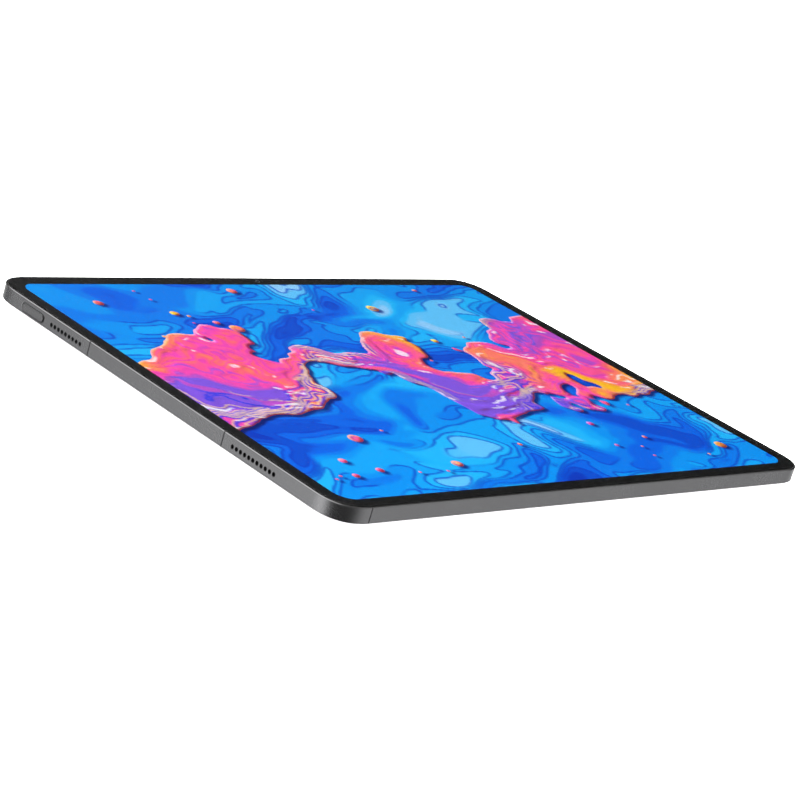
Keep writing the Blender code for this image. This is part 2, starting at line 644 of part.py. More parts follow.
def make_bracket(name, wall, location, length, depth):
    """A steel bar behind one or more switches, with an ear at each end that reaches the wall."""
    seat = wall_point(f"{name}_bracket_seat", wall, location)
    span = length + 2 * BUTTON_FLANGE_LIP + 2 * FIT_GAP
    bar = block((span + 2 * BRACKET_EAR, SWITCH_SIZE.y, BRACKET_SHEET))
    bar.transform(Matrix.Translation((0, 0, depth - BRACKET_SHEET / 2)))
    bracket = part(f"{name}_bracket", bar, (0, 0, 0), STEEL, seat)
    joins = helper_group(f"{name}_ears")
    reach = -SIDE_WALL - BOND_GAP - (depth - BRACKET_SHEET)
    for side in (-1, 1):
        ear = block((BRACKET_EAR, SWITCH_SIZE.y - LAP, reach))
        x = side * (span + BRACKET_EAR) / 2
        helper(f"{name}_ear_{side + 1}", ear, (x, 0, depth - BRACKET_SHEET + reach / 2 + LAP / 2), joins, seat)
    combine(bracket, "UNION", joins)


def make_buttons():
    places = list(button_places())
    for name, wall, location, length, width in places:
        depth = make_button(name, wall, location, length, width)
    name, wall, location, length, width = places[0]
    make_bracket(name, wall, location, length, depth)
    first, second = places[1], places[2]
    middle = (Vector(first[2]) + Vector(second[2])) / 2
    make_bracket("volume", FAR_WALL, middle, VOLUME_LENGTH + VOLUME_SPACING, depth)


# ---- Sound ----------------------------------------------------------------------------------------------
def make_speakers():
    for name, side, middle, count in speaker_rows():
        length = far_speaker_length if count == FAR_HOLES else near_speaker_length
        mesh_x = side * (inner_width - FIT_GAP - MESH_THICKNESS / 2)
        mesh_size = (MESH_THICKNESS, length - 2 * MESH_MARGIN, ceiling - floor_seat)
        z = (floor_seat + ceiling) / 2
        part(f"speaker_mesh_{name}", block(mesh_size), (mesh_x, middle, z), STEEL)
        box_x = side * (speaker_inner + SPEAKER_DEPTH / 2)
        box = block((SPEAKER_DEPTH, length, ceiling - floor_seat), corner=0.8 * MM, corner_steps=2)
        speaker = part(f"speaker_{name}", box, (box_x, middle, z), DARK_PLASTIC)
        cuts = helper_group(f"speaker_mouth_{name}")
        mouth = block((SPEAKER_DEPTH, length - 2 * SPEAKER_MARGIN, 2 * SPEAKER_HOLE_RADIUS))
        mouth_x = box_x + side * (SPEAKER_DEPTH - 3 * SPEAKER_MARGIN)
        helper(f"mouth_{name}", mouth, (mouth_x, middle, side_z), cuts)
        combine(speaker, "DIFFERENCE", cuts)


def make_microphones():
    for name, side in (("left", -1), ("right", 1)):
        y = inner_height - FIT_GAP - MIC_SIZE.y / 2
        part(f"microphone_{name}", block(MIC_SIZE), (side * MIC_OFFSET, y, side_z), STEEL)


# ---- Power and boards -----------------------------------------------------------------------------------
def make_battery():
    for name, side in (("left", -1), ("right", 1)):
        inner, outer = side * CELL_GAP / 2, side * cell_right
        low, high = (min(inner, outer), cell_near, floor_seat), (max(inner, outer), cell_far, ceiling)
        size, middle = between(low, high)
        mesh = block(size, corner=CELL_CORNER, corner_steps=3, top=(0.4 * MM, 1), bottom=(0.4 * MM, 1))
        part(f"battery_cell_{name}", mesh, middle, BATTERY_FOIL)
    y = cell_far + FIT_GAP + BATTERY_BOARD_SIZE.y / 2
    board = block((*BATTERY_BOARD_SIZE, BOARD_THICKNESS))
    part("battery_board", board, (0, y, (board_bottom + board_top) / 2), CIRCUIT_BOARD)


def make_logic_board():
    holes = [circle(SCREW_RADIUS + INLAY_GAP, 12, (x, y)) for _, x, y in screw_places()]
    outline = rounded_rectangle(*BOARD_SIZE, 1.5 * MM, 3, board_centre)
    z = (board_bottom + board_top) / 2
    part("logic_board", plate([outline, *holes], BOARD_THICKNESS), (0, 0, z), CIRCUIT_BOARD)
    low, high = board_top + BOND_GAP, ceiling - FIT_GAP
    shields = (("processor_shield", -0.2, PROCESSOR_SHIELD), ("radio_shield", 0.3, RADIO_SHIELD))
    for name, along, size in shields:
        mesh = block((*size, high - low), corner=1.0 * MM, corner_steps=2, top=(0.2 * MM, 1))
        x = board_centre.x + along * BOARD_SIZE.x
        part(name, mesh, (x, board_centre.y, (low + high) / 2), STEEL)


def make_screws():
    for name, x, y in screw_places():
        low = BACK_WALL / 2 + INLAY_GAP
        seat = board_top + INLAY_GAP
        shank = cylinder(SCREW_RADIUS, seat + LAP - low, 12)
        shank.transform(Matrix.Translation((0, 0, (seat + LAP + low) / 2)))
        screw = part(f"board_screw_{name}", shank, (x, y, 0), STEEL)
        joins = helper_group(f"screw_head_{name}")
        head = cylinder(SCREW_HEAD_RADIUS, SCREW_HEAD_HEIGHT, 16)
        helper(f"head_{name}", head, (x, y, seat + SCREW_HEAD_HEIGHT / 2), joins)
        combine(screw, "UNION", joins)


def make_usb_port():
    seat = bpy.data.objects["port_seat"]
    depth = TONGUE_SIZE.z + PORT_BACK_WALL + INLAY_GAP
    outer = pill(PORT_OPENING.x + 2 * PORT_SHEET, PORT_OPENING.y + 2 * PORT_SHEET)
    shell = plate([outer], depth + PORT_BACK_WALL)
    shell.transform(Matrix.Translation((0, 0, -PORT_RECESS - (depth + PORT_BACK_WALL) / 2)))
    port = part("usb_shell", shell, (0, 0, 0), STEEL, seat)
    cuts = helper_group("usb_cuts")
    hollow = plate([pill(*PORT_OPENING)], depth + OVERSHOOT)
    helper("usb_hollow", hollow, (0, 0, -PORT_RECESS + OVERSHOOT - (depth + OVERSHOOT) / 2), cuts, seat)
    combine(port, "DIFFERENCE", cuts)
    tongue_z = -PORT_RECESS - depth + INLAY_GAP + TONGUE_SIZE.z / 2
    part("usb_tongue", block(TONGUE_SIZE), (0, 0, tongue_z), DARK_PLASTIC, seat)
    x = half_width - PORT_RECESS - depth - PORT_BACK_WALL - FIT_GAP - USB_BOARD_SIZE.x / 2
    board = block((*USB_BOARD_SIZE, BOARD_THICKNESS), corner=0.8 * MM, corner_steps=2)
    part("usb_board", board, (x, 0, (board_bottom + board_top) / 2), CIRCUIT_BOARD)


def make_flexes():
    """Thin printed cables over the boards, and one that runs round the battery on the floor."""
    low = board_top + INLAY_GAP
    near = -inner_height + 3 * FIT_GAP
    driver_y = near + DRIVER_BOARD_SIZE.y / 2
    z = (board_bottom + board_top) / 2
    part("display_driver_board", block((*DRIVER_BOARD_SIZE, BOARD_THICKNESS)), (0, driver_y, z), CIRCUIT_BOARD)
    board_near = board_centre.y - BOARD_SIZE.y / 2
    flexes = (
        ("display_flex", 0.0, driver_y, board_near + FLEX_WIDTH / 2),
        ("battery_flex", 2.2 * FLEX_WIDTH, cell_far + 2 * FIT_GAP, board_near + FLEX_WIDTH / 3),
    )
    for name, x, start, end in flexes:
        size, middle = between((x - FLEX_WIDTH / 2, start, low), (x + FLEX_WIDTH / 2, end, low + FLEX_THICKNESS))
        part(name, block(size), middle, POLYIMIDE)
    right = speaker_inner - FIT_GAP
    left = right - SIDE_LANE + 3 * FIT_GAP
    top = board_near + FIT_GAP
    bottom = top - BATTERY_BOARD_SIZE.y
    inner_end = board_centre.x + BOARD_SIZE.x / 2 - 3 * SCREW_INSET
    outline = [(left, 0), (right, 0), (right, top), (inner_end, top), (inner_end, bottom), (left, bottom)]
    z = floor_seat + FLEX_THICKNESS / 2
    part("usb_flex", plate([outline], FLEX_THICKNESS), (0, 0, z), POLYIMIDE)


def make_antennas():
    for name, side in (("near", -1), ("far", 1)):
        x = -inner_width + SIDE_WALL + ANTENNA_SIZE.x / 2
        y = near_hole_row - near_speaker_length / 2 - FIT_GAP - ANTENNA_SIZE.y / 2
        if side > 0:
            x, y = -inner_width + CORNER_RADIUS + ANTENNA_SIZE.y / 2, inner_height - SIDE_WALL - ANTENNA_SIZE.x / 2
        size = ANTENNA_SIZE if side < 0 else ANTENNA_SIZE.yx
        mesh = block((*size, FLEX_THICKNESS), corner=0.8 * MM, corner_steps=2)
        part(f"antenna_{name}", mesh, (x, y, floor_seat + FLEX_THICKNESS / 2), POLYIMIDE)


def make_contacts():
    carrier_top = floor_seat + CONTACT_BLOCK.z
    block_mesh = block(CONTACT_BLOCK, corner=0.8 * MM, corner_steps=2)
    part("contact_carrier", block_mesh, (0, contact_y, carrier_top - CONTACT_BLOCK.z / 2), DARK_PLASTIC)
    low, high = CONTACT_RECESS, floor_seat - INLAY_GAP
    for i, name in enumerate(("left", "middle", "right")):
        mesh = plate([circle(CONTACT_RADIUS, 16)], high - low)
        x = (i - 1) * CONTACT_SPACING
        part(f"contact_{name}", mesh, (x, contact_y, (low + high) / 2), GOLD)


# ---- Cameras and sensor ---------------------------------------------------------------------------------
def make_front_camera():
    low, high = floor_seat + FIT_GAP, ceiling
    mesh = block((FRONT_CAMERA_BODY, FRONT_CAMERA_BODY, high - low))
    camera = part("front_camera", mesh, (0, front_camera_y, (low + high) / 2), DARK_PLASTIC)
    joins = helper_group("front_barrel")
    top = glass_bottom - BOND_GAP
    barrel = cylinder(FRONT_BARREL_RADIUS, top - high + LAP, 16)
    helper("front_barrel_form", barrel, (0, front_camera_y, (top + high - LAP) / 2), joins)
    combine(camera, "UNION", joins)
    sensor_z = glass_bottom - BOND_GAP - LIGHT_SENSOR_SIZE.z / 2
    location = (LIGHT_SENSOR_OFFSET, front_camera_y, sensor_z)
    part("light_sensor", block(LIGHT_SENSOR_SIZE), location, DARK_PLASTIC)


def make_camera_island():
    """The raised plate on the back, with openings for the lens and the flash."""
    low, high = -ISLAND_PROUD, BACK_WALL / 2 - INLAY_GAP
    outline = pill(ISLAND_LENGTH, ISLAND_WIDTH, 14)
    island = part(
        "camera_island", plate([outline], high - low), (*island_centre.xy, (low + high) / 2), GREY_ALUMINIUM
    )
    cuts = helper_group("island_cuts")
    reach = (low - OVERSHOOT, high + OVERSHOOT)
    upright_cut("lens_bore", circle(REAR_BARREL_RADIUS + FIT_GAP), *reach, cuts, *rear_lens.xy)
    ring_seat = circle(LENS_RADIUS + TRIM_RING_WIDTH + 2 * INLAY_GAP, 28)
    upright_cut("ring_seat", ring_seat, low - OVERSHOOT, lens_shelf + INLAY_GAP, cuts, *rear_lens.xy)
    flash_bore = circle(FLASH_RADIUS + INLAY_GAP)
    upright_cut("flash_bore", flash_bore, *reach, cuts, *flash_centre.xy)
    combine(island, "DIFFERENCE", cuts)


RING_PROUD = 0.3 * MM
lens_low = -ISLAND_PROUD - RING_PROUD + LENS_RECESS
lens_shelf = lens_low + LENS_THICKNESS
camera_bottom = BACK_WALL + BOND_GAP
camera_roof = 0.8 * MM
FOCUS_TRAVEL = 0.25 * MM


def make_rear_camera():
    lens = plate([circle(LENS_RADIUS, 28)], LENS_THICKNESS)
    part("lens_glass", lens, (*rear_lens.xy, lens_low + LENS_THICKNESS / 2), BLACK_GLASS)
    ring_low, ring_high = -ISLAND_PROUD - RING_PROUD, lens_shelf
    inner = LENS_RADIUS + INLAY_GAP
    ring = plate([circle(inner + TRIM_RING_WIDTH, 28), circle(inner, 28)], ring_high - ring_low)
    part("lens_ring", ring, (*rear_lens.xy, (ring_low + ring_high) / 2), STEEL)
    top = ceiling - FIT_GAP
    size = (REAR_CAMERA_BODY, REAR_CAMERA_BODY, top - camera_bottom)
    body = part("rear_camera", block(size), (*rear_lens.xy, (top + camera_bottom) / 2), STEEL)
    cuts = helper_group("rear_camera_cuts")
    bore = circle(REAR_BARREL_RADIUS + SLIDE_GAP)
    upright_cut("barrel_bore", bore, camera_bottom - OVERSHOOT, top - camera_roof, cuts, *rear_lens.xy)
    combine(body, "DIFFERENCE", cuts)
    low = lens_shelf + FOCUS_TRAVEL + INLAY_GAP
    high = top - camera_roof - FOCUS_TRAVEL
    barrel = plate([circle(REAR_BARREL_RADIUS)], high - low)
    part("focus_barrel", barrel, (*rear_lens.xy, (low + high) / 2), DARK_PLASTIC)


def make_flash():
    low = -ISLAND_PROUD + CONTACT_RECESS
    lens = plate([circle(FLASH_RADIUS)], LENS_THICKNESS)
    part("flash_lens", lens, (*flash_centre.xy, low + LENS_THICKNESS / 2), CLEAR_PLASTIC)
    z = low + LENS_THICKNESS + FIT_GAP + FLASH_LED_SIZE.z / 2
    part("flash_led", block(FLASH_LED_SIZE), (*flash_centre.xy, z), CIRCUIT_BOARD)


# ---- The tablet -----------------------------------------------------------------------------------------
make_housing()
make_gasket()
make_glass()
make_display()
make_buttons()
make_speakers()
make_microphones()
make_battery()
make_logic_board()
make_screws()
make_usb_port()
make_flexes()
make_antennas()
make_contacts()
make_front_camera()
make_camera_island()
make_rear_camera()
make_flash()
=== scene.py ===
# %% [markdown]
# # A slab tablet computer
# This lesson dresses the measured model of a tablet. The model comes in as a fixed frame of 59 solids, and
# every position below is read from that frame, so a new piece always lands where its solid is. Most pieces
# are surfaces worked out with numpy: a grid of points, or a profile carried round an outline. A surface of
# that kind keeps its exact measurements, and its points can carry numbers that a material reads later.

# %% Load the frame
import math

import bmesh
import bpy
import numpy as np
from mathutils import Matrix, Vector


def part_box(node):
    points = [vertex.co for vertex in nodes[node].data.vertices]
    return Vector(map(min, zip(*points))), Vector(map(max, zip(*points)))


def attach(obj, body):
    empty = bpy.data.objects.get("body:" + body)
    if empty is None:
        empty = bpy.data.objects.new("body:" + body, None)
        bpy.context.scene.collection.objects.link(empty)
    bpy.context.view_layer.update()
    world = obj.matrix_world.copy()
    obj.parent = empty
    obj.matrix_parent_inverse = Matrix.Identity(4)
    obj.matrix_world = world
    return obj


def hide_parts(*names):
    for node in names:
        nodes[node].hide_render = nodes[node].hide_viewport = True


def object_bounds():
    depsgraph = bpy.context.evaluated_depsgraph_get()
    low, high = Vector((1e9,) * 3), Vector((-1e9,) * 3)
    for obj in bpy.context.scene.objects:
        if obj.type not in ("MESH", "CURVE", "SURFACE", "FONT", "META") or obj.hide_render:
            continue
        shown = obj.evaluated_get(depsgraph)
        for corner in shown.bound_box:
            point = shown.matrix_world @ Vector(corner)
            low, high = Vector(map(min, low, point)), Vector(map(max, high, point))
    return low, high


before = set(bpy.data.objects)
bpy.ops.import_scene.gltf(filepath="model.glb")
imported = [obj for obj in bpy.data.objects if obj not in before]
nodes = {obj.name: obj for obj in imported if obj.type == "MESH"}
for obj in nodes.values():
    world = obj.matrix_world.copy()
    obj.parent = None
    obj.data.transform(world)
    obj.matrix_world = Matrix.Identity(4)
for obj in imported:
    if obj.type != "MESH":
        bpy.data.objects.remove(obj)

MM = 0.001
GLOW = 1.62  # strength of the display's light
cad_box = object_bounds()
print(len(nodes), "solids,", [round(float(v) * 1000, 1) for v in (cad_box[1] - cad_box[0])], "mm")

# %% [markdown]
# ## From points to a mesh
# A piece is first a heap of four-cornered patches, each given by its corner points. Patches that meet share
# corner positions but not yet corner points. Welding rounds every position to a thousandth of a millimetre
# and keeps one point for each, which closes the seams and turns a patch whose corners coincide into a
# triangle. Blender's Merge by Distance does the same job, but numpy does it for all patches in one go.


# %% Weld patches and make a piece
def patches(points, keep=None):
    """The four corners of each cell of a grid of points: (rows, columns, 3) gives (cells, 4, 3)."""
    cells = np.stack([points[:-1, :-1], points[:-1, 1:], points[1:, 1:], points[1:, :-1]], axis=2)
    return cells.reshape(-1, 4, 3) if keep is None else cells[keep]


def weld(heap, within=1e-6):
    """Points and faces of a heap of patches, with corners that share a position made one."""
    corners = np.concatenate(heap).reshape(-1, 3)
    spot = np.round((corners + 1.37e-7) / within).astype(np.int64)
    _, first, index = np.unique(spot, axis=0, return_index=True, return_inverse=True)
    quads = index.reshape(-1, 4)
    repeat = quads == np.roll(quads, -1, axis=1)
    flat = repeat.sum(axis=1)
    triangles = [[int(v) for v in q[~r]] for q, r in zip(quads[flat == 1], repeat[flat == 1])]
    return corners[first], quads[flat == 0].tolist() + triangles


def piece(name, heap, material, stands_for=(), body="tablet", sharp=28.0):
    """Makes a closed piece from patches, with its normals turned outwards and edges over an angle left crisp."""
    points, faces = weld(heap)
    mesh = bpy.data.meshes.new(name)
    mesh.from_pydata(points, [], faces)
    shape = bmesh.new()
    shape.from_mesh(mesh)
    bmesh.ops.recalc_face_normals(shape, faces=shape.faces)
    if shape.calc_volume(signed=True) < 0:
        bmesh.ops.reverse_faces(shape, faces=shape.faces)
    open_edges = sum(1 for e in shape.edges if not e.is_manifold)
    shape.to_mesh(mesh)
    shape.free()
    mesh.shade_smooth()
    mesh.set_sharp_from_angle(angle=math.radians(sharp))
    mesh.materials.append(material)
    obj = bpy.data.objects.new(name, mesh)
    bpy.context.scene.collection.objects.link(obj)
    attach(obj, body)
    if stands_for:
        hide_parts(*stands_for)
    print(f"{name}: {len(faces)} faces, {open_edges} open edges")
    return obj


# %% [markdown]
# ## The outline that everything follows
# The corners aren't quarter circles. They bend gently at first and most at the middle, so that a reflection
# slides round them without a jump. A superellipse does that: |x/R|^p + |y/R|^p = 1 is a circle for p = 2 and
# grows squarer with p. The whole outline is four straight sides and four such corners, and each point
# carries the direction that points out of it, so that an inner line is the same outline moved inwards.

# %% Outline of the tablet
housing_low, housing_high = (np.array(c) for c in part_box("rear_housing"))
HALF = housing_high[:2]
RIM = float(housing_high[2])
GLASS_TOP = float(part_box("cover_glass")[1][2])
GLASS_LOW = float(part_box("cover_glass")[0][2])
CORNER, SOFTNESS = 16.0 * MM, 2.5
REACH = HALF - CORNER  # where the straight part of each side ends


def corner_arc(steps):
    """Points and outward directions round a corner, evenly spaced from +X to +Y."""
    turn = np.linspace(0, np.pi / 2, 2001)
    x, y = CORNER * np.cos(turn) ** (2 / SOFTNESS), CORNER * np.sin(turn) ** (2 / SOFTNESS)
    run = np.append(0, np.cumsum(np.hypot(np.diff(x), np.diff(y))))
    share = np.linspace(0, run[-1], steps + 1)
    arc = np.stack([np.interp(share, run, x), np.interp(share, run, y)], axis=1)
    out = (arc / CORNER) ** (SOFTNESS - 1)
    return arc, out / np.linalg.norm(out, axis=1, keepdims=True)


def outline(xs, ys, half_steps):
    """(points, outward directions) anticlockwise from the right side. Sides have points at xs and ys."""
    arc, out = corner_arc(2 * half_steps)
    spots, ways = [], []
    for sx, sy, along in ((1, 1, ys), (-1, 1, xs[::-1]), (-1, -1, ys[::-1]), (1, -1, xs)):
        upright = sx == sy
        side = np.stack([np.full_like(along, sx * HALF[0]), along] if upright
                        else [along, np.full_like(along, sy * HALF[1])], axis=1)
        face = np.tile([sx, 0.0] if upright else [0.0, sy], (len(along), 1))
        order = slice(None) if upright else slice(None, None, -1)
        spots += [side[:-1], (arc[order] * [sx, sy] + REACH * [sx, sy])[:-1]]
        ways += [face[:-1], (out[order] * [sx, sy])[:-1]]
    return np.concatenate(spots), np.concatenate(ways)


def frame_line(xs, ys, inset, half_steps):
    """A rectangle with one point for each point of the outline, its corners where the corners' middles are."""
    box = HALF - inset
    lift = (box - REACH) * np.linspace(0, 1, half_steps + 1)[:, None]
    climb = np.concatenate([np.stack([np.full(half_steps + 1, box[0]), REACH[1] + lift[:, 1]], 1),
                            np.stack([REACH[0] + lift[::-1, 0], np.full(half_steps + 1, box[1])], 1)[1:]])
    spots = []
    for sx, sy, along in ((1, 1, ys), (-1, 1, xs[::-1]), (-1, -1, ys[::-1]), (1, -1, xs)):
        upright = sx == sy
        side = np.stack([np.full_like(along, sx * box[0]), along] if upright
                        else [along, np.full_like(along, sy * box[1])], axis=1)
        order = slice(None) if upright else slice(None, None, -1)
        spots += [side[:-1], (climb[order] * [sx, sy])[:-1]]
    return np.concatenate(spots)


def closed(rows):
    """Rows of points round a loop, with the first column repeated at the end."""
    rows = np.asarray(rows)
    return np.concatenate([rows, rows[:, :1]], axis=1)


def lifted(spots, z):
    return np.column_stack([spots, np.full(len(spots), z)])


def carried(spots, ways, profile):
    """A profile of (inset, height) pairs carried round an outline, as rows of points."""
    return closed([lifted(spots - inset * ways, z) for inset, z in profile])


print("corner radius", CORNER / MM, "mm, sides end at", REACH / MM)

# %% [markdown]
# ## Openings in a wall
# Speaker holes, button slots and the socket all pierce flat walls. A Boolean would cut them, but it leaves
# long thin triangles that catch the light on polished metal. Here each opening takes the place of a block
# of cells. The border of that block is drawn in towards the opening's own outline in a few rings, then the
# rings carry on through the wall, and the same is done backwards on the inner face.


# %% Draw a loop in to an opening
def drawn_in(flat, length, width, corner):
    """Each point moved to the nearest edge of a rectangle with round corners, seen from its inner line."""
    inner = np.clip(flat, [-(length / 2 - corner), -(width / 2 - corner)],
                    [length / 2 - corner, width / 2 - corner])
    way = flat - inner
    return inner + corner * way / np.linalg.norm(way, axis=1, keepdims=True)


def punch(loop, centre, along, up, out, rings, close=False, steps=3):
    """Patches from a closed loop in to an opening and down through it. rings are (length, width, corner,
    depth), and close shuts the last one with a flat end."""
    flat = np.stack([(loop - centre) @ along, (loop - centre) @ up], axis=1)
    shapes = [(drawn_in(flat, *ring[:3]), ring[3]) for ring in rings]
    first = shapes[0][0]
    ease = np.linspace(0, 1, steps + 1)[:-1] ** 0.8
    rows = [(flat + (first - flat) * e, 0.0) for e in ease] + shapes
    if close:
        length, width, corner, depth = rings[-1]
        core = np.clip(flat, [-(length / 2 - corner), 0.0], [length / 2 - corner, 0.0])
        rows += [(core + (shapes[-1][0] - core) * e, depth) for e in (0.5, 0.0)]
    solid = [centre + np.outer(f[:, 0], along) + np.outer(f[:, 1], up) - d * out for f, d in rows]
    return patches(closed(solid))


def ring_points(loop, centre, along, up, out, ring):
    """The points of one ring of an opening, in space."""
    flat = drawn_in(np.stack([(loop - centre) @ along, (loop - centre) @ up], axis=1), *ring[:3])
    return centre + np.outer(flat[:, 0], along) + np.outer(flat[:, 1], up) - ring[3] * out


def halves(loop, centre, along, up):
    """A loop split in two across its middle by a line of points that both halves share."""
    u, v = (loop - centre) @ along, (loop - centre) @ up
    found = []
    for side in (-1, 1):
        part = np.flatnonzero(side * u > -1e-9)
        jump = np.flatnonzero(np.diff(part) > 1)
        part = part if len(jump) == 0 else np.roll(part, -(jump[0] + 1))
        share = np.linspace(0, 1, 9)[1:-1, None]
        a, b = loop[part[-1]], loop[part[0]]
        found.append(np.concatenate([loop[part], a + (b - a) * share]))
    return found


class Wall:
    """A flat grid of points with a coordinate along it and one up it. Blocks of its cells can be opened."""

    def __init__(self, points, along, up):
        self.points, self.along, self.up = points, along, up
        self.keep = np.ones((len(up) - 1, len(along) - 1), bool)

    def block(self, left, right, low, high):
        """The border of a block of cells as a loop of points, after taking its cells out."""
        near = 1e-7
        c = np.flatnonzero((self.along > left - near) & (self.along < right + near))
        r = np.flatnonzero((self.up > low - near) & (self.up < high + near))
        self.keep[r[0]:r[-1], c[0]:c[-1]] = False
        across, back = np.arange(c[0], c[-1]), np.arange(c[-1], c[0], -1)
        rise, fall = np.arange(r[0], r[-1]), np.arange(r[-1], r[0], -1)
        rows = np.concatenate([np.full(len(across), r[0]), rise, np.full(len(back), r[-1]), fall])
        columns = np.concatenate([across, np.full(len(rise), c[-1]), back, np.full(len(fall), c[0])])
        return self.points[rows, columns]


# %% [markdown]
# ## Where the openings are
# The frame's solids give the places of the buttons, the socket, the camera plate and the contacts. The speaker
# holes are cut in the housing itself, so their rows are measured here from the two speaker meshes on the left, and
# the right side takes the same rows. Each opening asks for its own points along the sides, and the grid takes them
# all.

# %% Places of the openings
SIDE_WALL, FLOOR, LEDGE = 2.6 * MM, 0.8 * MM, 5.2 * MM
HOLE_PITCH, HOLE_RADIUS = 2.33 * MM, 0.82 * MM


def middle(node):
    low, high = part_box(node)
    return (np.array(low) + np.array(high)) / 2


def extent(node):
    low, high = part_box(node)
    return np.array(high) - np.array(low)


side_z = float(middle("power_button")[2])
port = middle("usb_shell")
power_y = float(middle("power_button")[1])
island = middle("camera_island")
contact_spots = [middle(f"contact_{n}") for n in ("left", "middle", "right")]
hole_rows = [(float(middle("speaker_mesh_far_left")[1]), 9), (float(middle("speaker_mesh_near_left")[1]), 11)]
volume_x = [float(middle(f"volume_{n}_button")[0]) for n in ("up", "down")]
mic_x = [float(middle(f"microphone_{n}")[0]) for n in ("left", "right")]

POWER = (14.8 * MM, 3.75 * MM)  # slot lengths and widths
VOLUME = (11.3 * MM, 3.1 * MM)
SOCKET = (9.14 * MM, 3.36 * MM)
ISLAND = (32.2 * MM, 15.2 * MM)

SEAT_DEPTH = 0.4 * MM
CAMERA_OPENINGS = [(middle("lens_glass")[:2], 3.7 * MM), (middle("flash_lens")[:2], 2.5 * MM)]

wanted_y, wanted_x, wanted_z = [], [], []


def want(store, start, end, cells):
    store.append(np.linspace(start, end, cells + 1))


for centre, count in hole_rows:
    want(wanted_y, centre - count / 2 * HOLE_PITCH, centre + count / 2 * HOLE_PITCH, count * 4)
want(wanted_y, power_y - POWER[0] / 2 - 1.4 * MM, power_y + POWER[0] / 2 + 1.4 * MM, 16)
want(wanted_y, -SOCKET[0] / 2 - 0.8 * MM, SOCKET[0] / 2 + 0.8 * MM, 12)
want(wanted_y, island[1] - 8.4 * MM, island[1] + 8.4 * MM, 8)
want(wanted_y, contact_spots[0][1] - 2.4 * MM, contact_spots[0][1] + 2.4 * MM, 4)
for x in volume_x:
    want(wanted_x, x - VOLUME[0] / 2 - 1.4 * MM, x + VOLUME[0] / 2 + 1.4 * MM, 14)
for x in mic_x:
    want(wanted_x, x - 0.9 * MM, x + 0.9 * MM, 4)
for spot in contact_spots:
    want(wanted_x, spot[0] - 2.4 * MM, spot[0] + 2.4 * MM, 4)
want(wanted_x, island[0] - 17.0 * MM, island[0] + 17.0 * MM, 12)
want(wanted_z, side_z - HOLE_PITCH / 2, side_z + HOLE_PITCH / 2, 6)
want(wanted_z, side_z - 2.0 * MM, side_z + 2.0 * MM, 8)
want(wanted_z, side_z - 1.75 * MM, side_z + 1.75 * MM, 1)
want(wanted_z, side_z - 0.9 * MM, side_z + 0.9 * MM, 1)
want(wanted_z, port[2] - 1.71 * MM, port[2] + 1.71 * MM, 1)


def stations(store, low, high, apart):
    """All wanted points, with others between them wherever they lie further apart than a distance."""
    fixed = np.unique(np.round(np.concatenate([*store, [low, high]]), 9))
    fixed = fixed[(fixed >= low - 1e-9) & (fixed <= high + 1e-9)]
    fixed = fixed[np.append(True, np.diff(fixed) > 1e-8)]
    gaps = [np.linspace(a, b, max(1, math.ceil((b - a) / apart)) + 1)[:-1] for a, b in zip(fixed, fixed[1:])]
    return np.append(np.concatenate(gaps), fixed[-1])


HALF_STEPS = 12
ys = stations(wanted_y, -REACH[1], REACH[1], 9 * MM)
xs = stations(wanted_x, -REACH[0], REACH[0], 9 * MM)
print(len(xs), "points along the long sides,", len(ys), "along the short sides")
